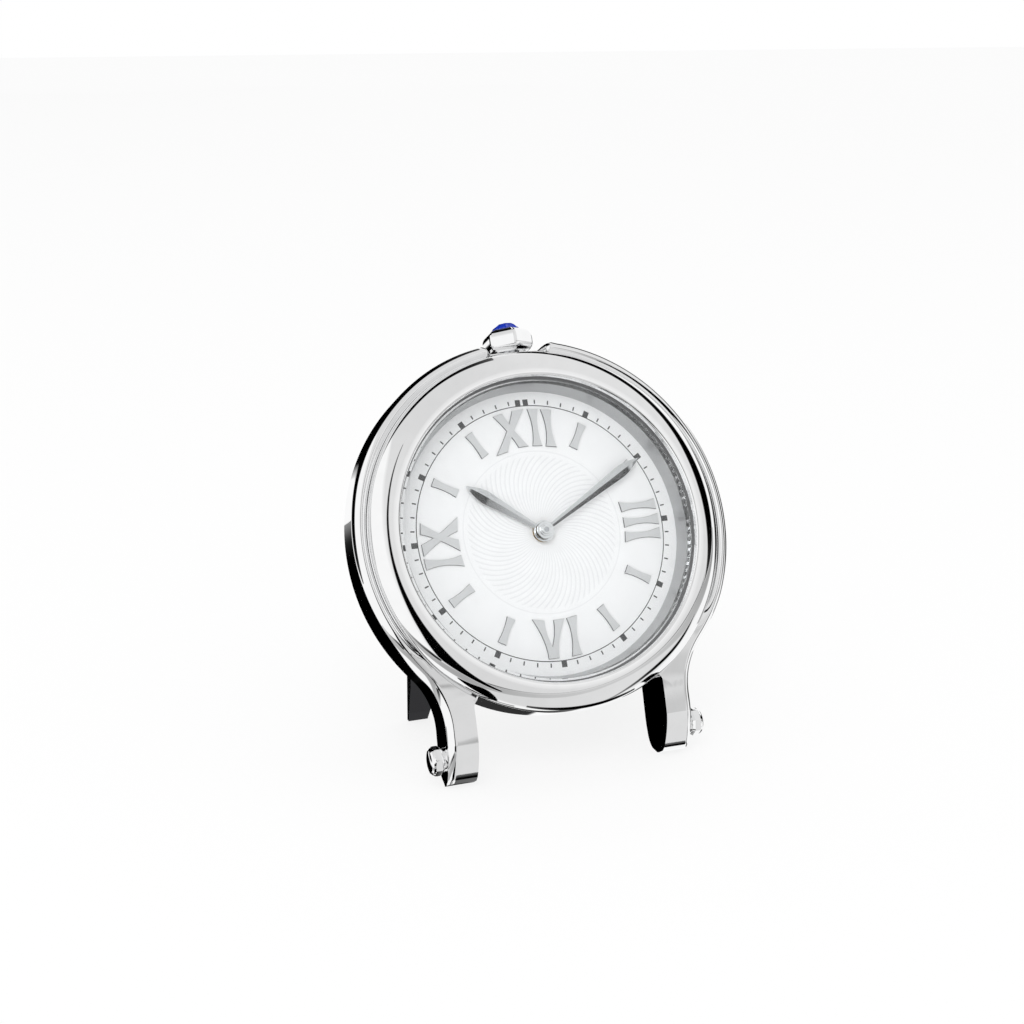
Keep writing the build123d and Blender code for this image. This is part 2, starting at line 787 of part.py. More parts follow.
def minute_wheel():
    """The wheel and pinion that slow the hour hand, on a post of the plate."""
    low = pocket_floor_z + loose_gap
    back = minute_wheel_angle + 180
    bore = post_r + running_gap
    wheel = toothed(minute_teeth, motion_module, wheel_thickness, bore, back + 180 / minute_teeth)
    height = minute_pinion_top_z - low - wheel_thickness
    pinion = toothed(minute_pinion_teeth, motion_module, height, bore, back)
    whole = Pos(0, 0, low) * wheel + Pos(0, 0, low + wheel_thickness) * pinion
    return Pos(*minute_arbor, 0) * whole


def centre_wheel():
    """The wheel that turns once an hour, and its long arbor through the plate."""
    tooth = third_wheel_angle + 180 / centre_teeth
    wheel = toothed(centre_teeth, train_module, wheel_thickness, 0, tooth)
    low = bridge_top_z - pivot_length
    arbor = rod_z(arbor_r, bridge_top_z + running_gap, minute_hand_z + hand_ridge_height + cap_height)
    return Pos(0, 0, centre_wheel_z) * wheel + arbor + rod_z(pivot_r, low, bridge_top_z + overrun)


def third_wheel():
    """The wheel between the rotor and the centre wheel."""
    back = third_wheel_angle + 180
    wheel = toothed(third_teeth, train_module, wheel_thickness, 0, rotor_angle)
    low = third_wheel_z + wheel_thickness
    pinion = toothed(third_pinion_teeth, train_module, third_pinion_top_z - low, 0, back)
    arbor = rod_z(train_arbor_r, bridge_top_z + running_gap, plate_back_z - running_gap)
    whole = Pos(0, 0, third_wheel_z) * wheel + Pos(0, 0, low) * pinion + arbor + pivots()
    return Pos(*third_arbor, 0) * whole


def pivots():
    """The fine ends of a train arbor, in the bridge and in the plate."""
    return rod_z(pivot_r, bridge_top_z - pivot_length, plate_back_z + pivot_length)


def rotor():
    """The motor's round magnet, with its pinion and arbor."""
    tooth = rotor_angle + 180 + 180 / rotor_teeth
    pinion = Pos(0, 0, third_wheel_z) * toothed(
        rotor_teeth, train_module, wheel_thickness, 0, tooth
    )
    magnet = rod_z(rotor_magnet_r, rotor_magnet_z, rotor_magnet_top_z)
    arbor = rod_z(pivot_r, third_wheel_z, rotor_magnet_top_z)
    return Pos(*rotor_arbor, 0) * (pinion + magnet + arbor + pivots())


def main_plate():
    """The movement's plate: pocket for the motion work, groove for the stem."""
    plate = rod_z(plate_r, plate_back_z, plate_top_z)
    hour_room = motion_module * (hour_teeth / 2 + 1) + loose_gap
    minute_room = motion_module * (minute_teeth / 2 + 1) + loose_gap
    plate = plate - rod_z(hour_room, pocket_floor_z, plate_top_z + overrun)
    plate = plate - rod_z(minute_room, pocket_floor_z, plate_top_z + overrun, minute_arbor)
    plate = plate + rod_z(post_r, pocket_floor_z, minute_pinion_top_z, minute_arbor)
    plate = plate - rod_z(arbor_r + running_gap, plate_back_z - overrun, 0)
    for place in (third_arbor, rotor_arbor):
        top = plate_back_z + pivot_length + loose_gap
        plate = plate - rod_z(pivot_r + running_gap, plate_back_z - overrun, top, place)
    for place in (pillar_left, pillar_right, pillar_low):
        plate = plate - rod_z(screw_r + press_gap, plate_back_z - overrun, pocket_floor_z, place)
    stem_half = stem_thin_r + loose_gap
    groove = block(
        (-stem_half, stem_half), (stem_tail_y - loose_gap, plate_r + overrun),
        (crown_axis_z - stem_half, overrun),
    )
    pinion_half = setting_pinion_r + running_gap
    pinion_room = rod_y(
        pinion_half, setting_pinion_y - running_gap,
        setting_pinion_y + setting_pinion_length + running_gap,
    )
    pinion_slot = block(
        (-pinion_half, pinion_half),
        (setting_pinion_y - running_gap, setting_pinion_y + setting_pinion_length + running_gap),
        (crown_axis_z, overrun),
    )
    clip_slot = block(
        (-clip_width / 2 - press_gap, clip_width / 2 + press_gap),
        (clip_y - press_gap, clip_y + clip_thickness + press_gap),
        (crown_axis_z - setting_pinion_r, overrun),
    )
    return plate - groove - pinion_room - pinion_slot - clip_slot


def train_bridge():
    """The bridge over the train, on three pillars."""
    pads = [
        Pos(*place) * Circle(bridge_pad_r)
        for place in (pillar_left, pillar_right, rotor_arbor, pillar_low)
    ]
    outline = make_hull([edge for pad in pads for edge in pad.edges()])
    low = bridge_top_z - bridge_thickness
    bridge = Pos(0, 0, low) * extrude(outline, bridge_thickness)
    for place in (pillar_left, pillar_right, pillar_low):
        bridge = bridge + rod_z(pillar_r, bridge_top_z, plate_back_z, place)
        bridge = bridge - rod_z(screw_r + press_gap, low - overrun, plate_back_z + overrun, place)
    for place in ((0, 0), third_arbor, rotor_arbor):
        bridge = bridge - rod_z(pivot_r + running_gap, low - overrun, bridge_top_z + overrun, place)
    return bridge


def slotted_screw(shank_r, shank_length, head_r, head_height):
    """A screw with its head below z = 0 and its shank up into the work."""
    slot = block(
        (-head_r - overrun, head_r + overrun), (-screw_slot_width / 2, screw_slot_width / 2),
        (-head_height - overrun, screw_slot_depth - head_height),
    )
    return rod_z(head_r, -head_height, 0) + rod_z(shank_r, 0, shank_length) - slot


def bridge_screws():
    """Three screws that hold the bridge to the plate."""
    low = bridge_top_z - bridge_thickness
    length = plate_back_z - low + pivot_length
    screw = slotted_screw(screw_r, length, screw_head_r, screw_head_height)
    return Compound([
        Pos(*place, low) * Rot(0, 0, turn) * screw
        for place, turn in zip((pillar_left, pillar_right, pillar_low), screw_turns)
    ])


def stator():
    """The soft iron plate that carries the coil's field round the rotor."""
    ring = Pos(*rotor_arbor) * Circle(stator_ring_r)
    plate = Sketch()
    for foot_x in (core_left_x, core_right_x):
        foot = Pos(foot_x, core_y) * Circle(stator_foot_r)
        plate = plate + make_hull(ring.edges() + foot.edges())
    hole = Pos(*rotor_arbor) * Circle(stator_hole_r)
    low = stator_top_z - stator_thickness
    plate = Pos(0, 0, low) * extrude(plate - hole, stator_thickness)
    return plate - coil_room(loose_gap)


def coil_room(gap):
    """The coil's outer shape, with a gap all round."""
    low = stator_top_z - stator_thickness
    core_z = low - stator_thickness / 2
    return rod_x(coil_r + gap, coil_left_x - gap, coil_right_x + gap, core_y, core_z)


def coil_core():
    """The flat iron bar through the coil, under the stator's two feet."""
    low = stator_top_z - stator_thickness
    return block(
        (core_left_x - core_width / 2, core_right_x + core_width / 2),
        (core_y - core_width / 2, core_y + core_width / 2), (low - stator_thickness, low),
    )


def coil():
    """The copper winding on the core."""
    low = stator_top_z - stator_thickness
    half = core_width / 2 + press_gap
    hole = block(
        (coil_left_x - overrun, coil_right_x + overrun), (core_y - half, core_y + half),
        (low - stator_thickness - press_gap, low + press_gap),
    )
    return coil_room(0) - hole


def circuit_board():
    """The small circuit board on the back of the plate."""
    face = make_face(Polyline(board_outline, close=True))
    return Pos(0, 0, plate_back_z - board_thickness) * extrude(face, board_thickness)


def circuit_chip():
    """The chip that steps the motor."""
    low = plate_back_z - board_thickness - chip_height
    half = chip_side / 2
    x, y = chip_place
    return block((x - half, x + half), (y - half, y + half), (low, low + chip_height))


def resonator():
    """The quartz in its metal can, lying on the board."""
    can = rod_x(resonator_r, -resonator_length / 2, resonator_length / 2, 0, 0)
    low = plate_back_z - board_thickness - resonator_r
    return Pos(*resonator_place, low) * Rot(0, 0, resonator_angle) * can


def battery():
    """The button cell."""
    high = plate_back_z - loose_gap
    return rod_z(battery_r, high - battery_thickness, high, battery_place)


def battery_strap():
    """The spring strap that holds the cell and makes its contact."""
    x, y = battery_place
    cell_back = plate_back_z - loose_gap - battery_thickness
    low = cell_back - strap_thickness
    foot_y = y + battery_r + strap_foot_gap
    half = strap_width / 2
    strap = block((x - half, x + half), (y - strap_reach, foot_y + strap_foot), (low, cell_back))
    foot = block((x - half, x + half), (foot_y, foot_y + strap_foot), (low, plate_back_z))
    return strap + foot


def movement_holder():
    """The moulded ring that holds the movement in the case and backs the dial."""
    outer_r = bore_r - loose_gap
    inner_r = plate_r + loose_gap
    ring = rod_z(outer_r, holder_back_z, -dial_thickness)
    ring = ring - rod_z(inner_r, holder_back_z - overrun, overrun)
    middle_r = (outer_r + inner_r) / 2
    pocket_top = -dial_thickness - holder_floor
    pocket_r = holder_pocket_share * (outer_r - inner_r)
    for angle in ring_pattern(holder_pocket_count, 180 / holder_pocket_count):
        place = polar(middle_r, angle)
        ring = ring - rod_z(pocket_r, holder_back_z - overrun, pocket_top, place)
    tab = block(
        (inner_r - holder_tab_depth, inner_r + press_gap),
        (-holder_tab_width / 2, holder_tab_width / 2),
        (plate_back_z - holder_tab_thickness, plate_back_z),
    )
    for angle in ring_pattern(holder_tab_count, holder_tab_angle):
        ring = ring + Rot(0, 0, angle) * tab
    half = tube_r + loose_gap
    channel = block((-half, half), (inner_r - overrun, bore_r), (crown_axis_z - half, overrun))
    return ring - channel


def case_back():
    """The snap-on back, with a notch to lift it by."""
    gasket_r = bore_r - press_gap
    back = turned([
        (0, outer_back_z), (back_r - back_chamfer, outer_back_z),
        (back_r, outer_back_z + back_chamfer), (back_r, case_back_z),
        (gasket_r - back_gasket_wall, case_back_z),
        (gasket_r - back_gasket_wall, case_back_z + spigot_height),
        (0, case_back_z + spigot_height),
    ])
    notch = block(
        (-pry_notch_width / 2, pry_notch_width / 2), (-back_r - overrun, pry_notch_depth - back_r),
        (case_back_z - back_thickness / 2, case_back_z + overrun),
    )
    back = back - notch
    for side in (-1, 1):
        place = (side * bracket_screw_x, hinge_y + bracket_screw_y)
        low = outer_back_z - overrun
        back = back - rod_z(
            bracket_screw_r + press_gap, low, case_back_z + spigot_height + overrun, place
        )
    return back


def back_gasket():
    """The rubber ring between the back and the case."""
    outer_r = bore_r - press_gap
    inner_r = outer_r - back_gasket_wall
    return turned([
        (inner_r + press_gap, case_back_z + press_gap), (outer_r, case_back_z + press_gap),
        (outer_r, case_back_z + spigot_height), (inner_r + press_gap, case_back_z + spigot_height),
    ])


def crown_tube():
    """The tube in the case wall that guides the stem."""
    tube = rod_y(tube_r, tube_inner_y, tube_outer_y)
    return tube - rod_y(tube_bore_r, tube_inner_y - overrun, tube_outer_y + overrun)


def spun_on_crown_axis(edges):
    """A shape turned about the crown's axis from edges drawn at x and y."""
    return Pos(0, 0, crown_axis_z) * revolve(make_face(Wire(edges)), Axis.Y)


def crown():
    """The crown: a barrel with six polished flats, hollow under its skirt."""
    edges = [
        Line((0, crown_base_y), (crown_base_r, crown_base_y)),
        ThreePointArc(
            (crown_base_r, crown_base_y), (crown_belly_r, crown_belly_y),
            (crown_shoulder_r, crown_shoulder_y),
        ),
        Line((crown_shoulder_r, crown_shoulder_y), (crown_top_r, crown_top_y)),
        Line((crown_top_r, crown_top_y), (0, crown_top_y)),
        Line((0, crown_top_y), (0, crown_base_y)),
    ]
    body = spun_on_crown_axis(edges)
    corner_r = crown_flat_r / cos(pi / crown_flats)
    outline = RegularPolygon(corner_r, crown_flats, rotation=crown_rest_turn)
    flats = extrude(outline, crown_top_y - crown_base_y)
    flats = Pos(0, crown_base_y, crown_axis_z) * Rot(-90, 0, 0) * flats
    body = body & flats
    hollow_top = crown_base_y + crown_hollow_depth
    body = body - rod_y(tube_r + seal_wall + running_gap, crown_base_y - overrun, hollow_top)
    body = body - rod_y(stem_r() + press_gap, crown_base_y, hollow_top + stem_thread_depth)
    seat = stone_r + press_gap
    return body - rod_y(seat, crown_top_y - stone_seat_depth, crown_top_y + overrun)


def stem_r():
    """The radius of the stem where it runs in the tube."""
    return tube_bore_r - running_gap


def crown_stone():
    """The blue stone: two rings of facets that rise to a flat table."""
    height = stone_height + stone_seat_depth
    low = Cylinder(stone_r, height, align=(Align.CENTER, Align.CENTER, Align.MIN))
    corner_r = stone_r / cos(pi / stone_facets)
    upper = extrude(RegularPolygon(corner_r, stone_facets), height, taper=stone_facet_taper)
    table = extrude(
        RegularPolygon(corner_r + stone_height * sin(radians(stone_table_taper)), stone_facets,
                       rotation=180 / stone_facets),
        height, taper=stone_table_taper,
    )
    stone = low & upper & table
    return Pos(0, crown_top_y - stone_seat_depth, crown_axis_z) * Rot(-90, 0, 0) * stone


def crown_seal():
    """The rubber ring inside the crown that slides on the tube."""
    low = crown_base_y + crown_hollow_depth / 2 - seal_height / 2
    ring = rod_y(tube_r + seal_wall, low, low + seal_height)
    return ring - rod_y(tube_r + running_gap, low - overrun, low + seal_height + overrun)


def setting_stem():
    """The stem: thick in the tube, thin in the movement, squared for the pinion."""
    top = crown_base_y + crown_hollow_depth + stem_thread_depth
    stem = rod_y(stem_r(), tube_inner_y + crown_pull, top)
    thin = rod_y(stem_thin_r, stem_tail_y, tube_inner_y + crown_pull)
    groove_low = clip_y - crown_pull - loose_gap
    groove_high = clip_y + clip_thickness + loose_gap
    thin = thin - (
        rod_y(stem_thin_r + overrun, groove_low, groove_high)
        - rod_y(stem_groove_r, groove_low - overrun, groove_high + overrun)
    )
    half = stem_square / 2
    square = block(
        (-half, half), (stem_tail_y - overrun, stem_square_top_y),
        (crown_axis_z - half, crown_axis_z + half),
    )
    round_tail = rod_y(stem_thin_r + overrun, stem_tail_y - overrun, stem_square_top_y)
    return stem + (thin - (round_tail - square))


def setting_pinion():
    """The pinion that the stem's square turns, held between walls of the plate."""
    wheel = rod_y(setting_pinion_r, setting_pinion_y, setting_pinion_y + setting_pinion_length)
    half = stem_square / 2 + running_gap
    hole = block(
        (-half, half),
        (setting_pinion_y - overrun, setting_pinion_y + setting_pinion_length + overrun),
        (crown_axis_z - half, crown_axis_z + half),
    )
    wheel = wheel - hole
    groove = setting_groove_share * setting_pinion_r
    for angle in ring_pattern(setting_pinion_teeth):
        x, z = polar(setting_pinion_r, angle, (0, crown_axis_z))
        cut = Pos(x, 0, z - crown_axis_z) * rod_y(
            groove, setting_pinion_y - overrun, setting_pinion_y + setting_pinion_length + overrun
        )
        wheel = wheel - cut
    return wheel


def stem_clip():
    """The forked clip in the plate that keeps the stem from pulling out."""
    half = clip_width / 2
    clip = block(
        (-half, half), (clip_y, clip_y + clip_thickness),
        (crown_axis_z - setting_pinion_r, plate_top_z),
    )
    fork = stem_groove_r + running_gap
    mouth = block(
        (-fork, fork), (clip_y - overrun, clip_y + clip_thickness + overrun),
        (crown_axis_z, plate_top_z + overrun),
    )
    return clip - mouth - rod_y(fork, clip_y - overrun, clip_y + clip_thickness + overrun)


def lug_stud():
    """The right lug's faceted stud, with its collar and its shank in the lug."""
    corner_r = stud_head_r / cos(pi / stud_facets)
    side = extrude(RegularPolygon(corner_r, stud_facets), stud_head_height, taper=stud_side_taper)
    reach = corner_r + stud_head_height * sin(radians(stud_crown_taper)) / 2
    slope = extrude(
        RegularPolygon(reach, stud_facets, rotation=180 / stud_facets), stud_head_height,
        taper=stud_crown_taper,
    )
    barrel = Cylinder(stud_head_r, stud_head_height, align=(Align.CENTER, Align.CENTER, Align.MIN))
    head = Rot(0, 90, 0) * (side & slope & barrel)
    collar_x = lug_outer_x + stud_collar_height
    shank = rod_x(stud_shank_r, lug_outer_x - stud_shank_length, collar_x, stud_y, stud_z)
    collar = rod_x(stud_collar_r, lug_outer_x, collar_x, stud_y, stud_z)
    return Pos(collar_x, stud_y, stud_z) * head + collar + shank


def lug_studs():
    """The two studs, one on each lug's outer flank."""
    stud = lug_stud()
    return Compound([stud, mirror(stud, Plane.YZ)])


def hinge_bracket():
    """The bracket on the case back, with its middle knuckle."""
    knuckle = rod_x(knuckle_r, -bracket_half, bracket_half, hinge_y, hinge_z)
    plate_low = outer_back_z - bracket_plate
    plate = block(
        (-bracket_half, bracket_half), (hinge_y - knuckle_r, hinge_y + bracket_plate_top),
        (plate_low, outer_back_z),
    )
    neck = block(
        (-bracket_half, bracket_half), (hinge_y - knuckle_r, hinge_y + knuckle_r),
        (hinge_z, outer_back_z),
    )
    bracket = plate + neck + knuckle
    bracket = bracket - rod_x(
        hinge_pin_r + press_gap, -bracket_half - overrun, bracket_half + overrun, hinge_y, hinge_z
    )
    for side in (-1, 1):
        place = (side * bracket_screw_x, hinge_y + bracket_screw_y)
        bracket = bracket - rod_z(
            bracket_screw_r + press_gap, plate_low - overrun, outer_back_z + overrun, place
        )
    return bracket


def bracket_screws():
    """Two screws that hold the bracket to the case back."""
    screw = slotted_screw(
        bracket_screw_r, bracket_plate + bracket_screw_length, bracket_screw_head_r,
        screw_head_height,
    )
    low = outer_back_z - bracket_plate
    y = hinge_y + bracket_screw_y
    return Compound([Pos(side * bracket_screw_x, y, low) * screw for side in (-1, 1)])


def knuckle_end():
    """The outer end of the stand's knuckles, from the middle of the clock."""
    return bracket_half + knuckle_gap + knuckle_width


def hinge_pin():
    """The pin through bracket and stand, with a head at each end."""
    end = knuckle_end() + knuckle_gap
    pin = rod_x(hinge_pin_r, -end, end, hinge_y, hinge_z)
    for side in (-1, 1):
        low = min(side * end, side * (end + hinge_pin_head))
        head = rod_x(hinge_pin_head_r, low, low + hinge_pin_head, hinge_y, hinge_z)
        pin = pin + head
    return pin


def stand_outline():
    """The stand's outline below its hinge: two legs joined by an arch."""
    knuckle = knuckle_end()
    low = -stand_length - overrun
    outer = [
        (-knuckle, stand_web_y), (-stand_half, stand_shoulder_y), (-stand_half, low),
        (stand_half, low), (stand_half, stand_shoulder_y), (knuckle, stand_web_y),
    ]
    foot = stand_foot_inner
    edges = [
        Line((-foot, low), (foot, low)),
        Line((foot, low), (arch_half, arch_spring_y)),
        ThreePointArc(
            (arch_half, arch_spring_y), (0, arch_spring_y + arch_rise), (-arch_half, arch_spring_y)
        ),
        Line((-arch_half, arch_spring_y), (-foot, low)),
    ]
    return make_face(Polyline(outer, close=True)) - make_face(Wire(edges))


def stand_side():
    """The stand's thickness from the side, with the thin foot and its toe."""
    back = -stand_thickness / 2
    low = -stand_length - overrun
    return side_plate(
        [
            (stand_web_y, back), (low, back), (low, back + toe_thickness),
            (toe_height - stand_length, back + foot_thickness),
            (foot_taper_height - stand_length, stand_thickness / 2),
            (stand_web_y, stand_thickness / 2),
        ],
        -stand_half - overrun, stand_half + overrun,
    )


def stop_heel():
    """The heel above the hinge that meets the case back when the stand is open."""
    reach = hinge_lift - stop_gap
    rise = sin(radians(stand_angle))
    run = cos(radians(stand_angle))
    back = -stand_thickness / 2
    outline = [
        (0, back), (stop_length, back), (stop_length, (reach - stop_length * rise) / run),
        (stop_root, (reach - stop_root * rise) / run), (0, stand_thickness / 2),
    ]
    return outline


def rear_stand():
    """The hinged stand: knuckles, heel, and two legs under one arch."""
    inner = bracket_half + knuckle_gap
    outer = knuckle_end()
    frame = extrude(stand_outline(), 2 * stand_thickness)
    frame = Pos(0, 0, -stand_thickness) * frame & stand_side()
    neck_outline = [
        (0, -stand_thickness / 2), (0, stand_thickness / 2),
        (stand_web_y - knuckle_gap, stand_thickness / 2),
        (stand_web_y - knuckle_gap, -stand_thickness / 2),
    ]
    for low, high in ((inner, outer), (-outer, -inner)):
        frame = frame + side_plate(neck_outline, low, high)
        frame = frame + side_plate(stop_heel(), low, high)
        frame = frame + rod_x(knuckle_r, low, high, 0, 0)
    frame = frame - rod_x(hinge_pin_r + running_gap, -outer - overrun, outer + overrun, 0, 0)
    return Pos(0, hinge_y, hinge_z) * Rot(stand_angle, 0, 0) * frame


def stand_up(piece):
    """Leans a piece back and lifts it, so that the clock stands on z = 0."""
    return Pos(0, 0, -ground_height) * Rot(90 - lean, 0, 0) * piece


def above_ground(piece):
    """Trims what would reach below the ground: the worn soles and the stand's feet."""
    box = piece.bounding_box()
    return piece - block(
        (box.min.X - overrun, box.max.X + overrun), (box.min.Y - overrun, box.max.Y + overrun),
        (box.min.Z - overrun, 0),
    )


PIECES = {
    "case_middle": case_middle,
    "bezel": bezel,
    "crystal": crystal,
    "crystal_gasket": crystal_gasket,
    "flange_ring": flange_ring,
    "dial": dial,
    "hour_numerals": numerals,
    "hour_batons": batons,
    "hour_hand": hour_hand,
    "minute_hand": minute_hand,
    "hand_cap": hand_cap,
    "cannon_pinion": cannon_pinion,
    "hour_wheel": hour_wheel,
    "minute_wheel": minute_wheel,
    "centre_wheel": centre_wheel,
    "third_wheel": third_wheel,
    "rotor": rotor,
    "main_plate": main_plate,
    "train_bridge": train_bridge,
    "bridge_screws": bridge_screws,
    "stator": stator,
    "coil_core": coil_core,
    "coil": coil,
    "circuit_board": circuit_board,
    "circuit_chip": circuit_chip,
    "quartz_resonator": resonator,
    "battery": battery,
    "battery_strap": battery_strap,
    "movement_holder": movement_holder,
    "case_back": case_back,
    "back_gasket": back_gasket,
    "crown_tube": crown_tube,
    "crown": crown,
    "crown_stone": crown_stone,
    "crown_seal": crown_seal,
    "setting_stem": setting_stem,
    "setting_pinion": setting_pinion,
    "stem_clip": stem_clip,
    "lug_studs": lug_studs,
    "hinge_bracket": hinge_bracket,
    "bracket_screws": bracket_screws,
    "hinge_pin": hinge_pin,
    "rear_stand": rear_stand,
}

TRIMMED = ("case_middle", "rear_stand")

placed = {name: stand_up(make()) for name, make in PIECES.items()}
for name in TRIMMED:
    placed[name] = above_ground(placed[name])

# The origin is on the ground, below the middle of the clock's width and depth.
boxes = [piece.bounding_box() for piece in placed.values()]
depth_middle = (min(box.min.Y for box in boxes) + max(box.max.Y for box in boxes)) / 2

os.makedirs("parts", exist_ok=True)
for name, piece in placed.items():
    export_step(Pos(0, -depth_middle, 0) * piece, os.path.join("parts", name + ".step"))
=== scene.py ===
import math

import bmesh
import bpy
import numpy as np
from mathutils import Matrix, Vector


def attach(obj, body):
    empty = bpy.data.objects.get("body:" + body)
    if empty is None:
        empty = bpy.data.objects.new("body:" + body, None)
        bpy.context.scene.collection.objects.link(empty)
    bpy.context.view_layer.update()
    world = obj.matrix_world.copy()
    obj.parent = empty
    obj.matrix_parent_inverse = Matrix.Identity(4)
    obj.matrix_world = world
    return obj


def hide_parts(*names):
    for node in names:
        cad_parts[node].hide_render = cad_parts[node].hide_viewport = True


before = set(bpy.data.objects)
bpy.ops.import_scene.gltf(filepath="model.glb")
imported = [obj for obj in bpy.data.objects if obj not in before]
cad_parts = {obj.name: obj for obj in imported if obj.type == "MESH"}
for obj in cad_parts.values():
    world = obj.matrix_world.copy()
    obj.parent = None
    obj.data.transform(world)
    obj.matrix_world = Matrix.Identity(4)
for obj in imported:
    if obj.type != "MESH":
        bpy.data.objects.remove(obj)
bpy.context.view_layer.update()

# Case: one forged and polished steel piece, a horseshoe band whose two ends run
# down into the lugs that the clock stands on, round a drum that shows between them.
# Sizes are in millimetres in the dial's frame, and clock angles in degrees.
lean = math.radians(27.7)
ground_height = 40.28908
depth_middle = 1.23421
band_r = 35.3
band_front_z = 3.87
band_back_z = -8.3
seat_r = 32.85
seat_z = 3.0
hidden_wall_r = 30.4
drum_r = 32.2
bore_r = 29.6
notch_half = 5.1
notch_floor_y = 33.4
notch_end_x = 7.0
notch_end_rise = 1.2
notch_dip = 1.5
edge_in_band = 1.4
edge_down_band = 2.37
edge_lug = 1.2
lip_drop = 0.75
flare_r = 14.3
flare_y = -32.52
flare_clock = 130.97
root_clock = 148.4
root_y = -29.44
root_round = 1.5
lug_inner_x = 17.9
lug_outer_x = 23.15
level_rows_y = -34.0
crease_y = -35.4
crease_z = 0.5
steep_length = 5.1
steep_drop = 1.55
toe_y = -41.1
heel_y = -38.3
heel_z = -6.3
heel_r = 3.6
lug_bottom_y = heel_y - heel_r


def standing(points):
    """Dial frame in millimetres (x right, y up the dial, z out of it) to the world in
    metres: turned by the lean about x, lifted to the ground, nothing below the ground."""
    x, y, z = np.moveaxis(np.asarray(points, dtype=float), -1, 0)
    back = y * math.sin(lean) - z * math.cos(lean) - depth_middle
    up = y * math.cos(lean) + z * math.sin(lean) + ground_height
    return np.stack([x, back, np.maximum(up, 0.0)], axis=-1) / 1000


def solid_from(name, grids, sharp=35.0, groove_shade=None):
    """One mesh from closed shells. Each grid is rows of points; its columns join up in
    a loop, its rows join up too if it is turned, and otherwise each end is filled by a
    fan to the middle of its last row. Groove shade is one number for each point, kept
    on the mesh for its material to darken the colour by: painted shade."""
    corners, faces, start = [], [], 0
    for rows, turned in grids:
        rows = np.asarray(rows, dtype=float)
        if not turned:
            ends = [np.repeat(row.mean(axis=0)[None], rows.shape[1], axis=0) for row in (rows[0], rows[-1])]
            rows = np.concatenate([ends[0][None], rows, ends[1][None]])
        count, width = rows.shape[:2]
        last = count if turned else count - 1
        i, j = np.meshgrid(np.arange(last), np.arange(width), indexing="ij")
        a, b = i * width + j, i * width + (j + 1) % width
        c, d = ((i + 1) % count) * width + (j + 1) % width, ((i + 1) % count) * width + j
        faces.append(np.stack([a, b, c, d], axis=-1).reshape(-1, 4) + start)
        corners.append(standing(rows).reshape(-1, 3))
        start += count * width
    mesh = bpy.data.meshes.new(name)
    mesh.from_pydata(np.concatenate(corners).tolist(), [], np.concatenate(faces).tolist())
    if groove_shade is not None:
        mesh.attributes.new("groove_shade", "FLOAT", "POINT").data.foreach_set("value", np.ravel(groove_shade))
    work = bmesh.new()
    work.from_mesh(mesh)
    bmesh.ops.remove_doubles(work, verts=work.verts, dist=2e-7)
    bmesh.ops.dissolve_degenerate(work, edges=work.edges, dist=1e-8)
    bmesh.ops.recalc_face_normals(work, faces=work.faces)
    work.to_mesh(mesh)
    work.free()
    mesh.shade_smooth()
    mesh.set_sharp_from_angle(angle=math.radians(sharp))
    piece = bpy.data.objects.new(name, mesh)
    bpy.context.scene.collection.objects.link(piece)
    return piece


def soft_line(at, places, values, width):
    """A line through (place, value) pairs with its corners rounded: the mean of the
    straight line's values over a window of the width, centred on the place."""
    steps = np.linspace(-width / 2, width / 2, 9)
    return np.interp(np.asarray(at)[..., None] + steps, places, values).mean(axis=-1)


def smooth_step(at, low, high):
    """0 below low, 1 above high, and 3t^2 - 2t^3 between."""
    t = np.clip((np.asarray(at) - low) / (high - low), 0, 1)
    return t * t * (3 - 2 * t)


def front_height(y):
    """Height of the case's front face: level on the band, falling along the lug in a
    long hollow curve to the crease, then steeply in a parabola to the toe, crease height
    - drop (t + t^2), and in straight lines round the tip."""
    falling = soft_line(
        y, [crease_y, -33.9, -31.8, -28.5, -25.0, -22.0, -18.5, -15.5, 40.0],
        [crease_z, 0.74, 1.01, 1.32, 1.92, 2.55, 3.42, band_front_z, band_front_z], 1.5,
    )
    sharp_end_y = crease_y + 0.8
    falling = np.where(y < sharp_end_y, np.interp(y, [crease_y, sharp_end_y], [crease_z, 0.63]), falling)
    t = (crease_y - y) / steep_length
    steep = crease_z - steep_drop * t - steep_drop * t * t
    tip = np.interp(y, [lug_bottom_y, -41.75, toe_y], [-6.2, -4.3, -3.17])
    return np.where(y > crease_y, falling, np.where(y > toe_y, steep, tip))


def back_height(y):
    """Height of the case's back face: level on the band, a little lower down the lug,
    then round the heel's quarter circle."""
    heel_back_z = heel_z - heel_r
    level = soft_line(y, [heel_y, -36.1, -29.0, -17.3], [heel_back_z, heel_back_z, -8.8, band_back_z], 2.0)
    under = np.sqrt(np.clip(heel_r**2 - (y - heel_y) ** 2, 0, None))
    return np.where(y < heel_y, heel_z - under, level)


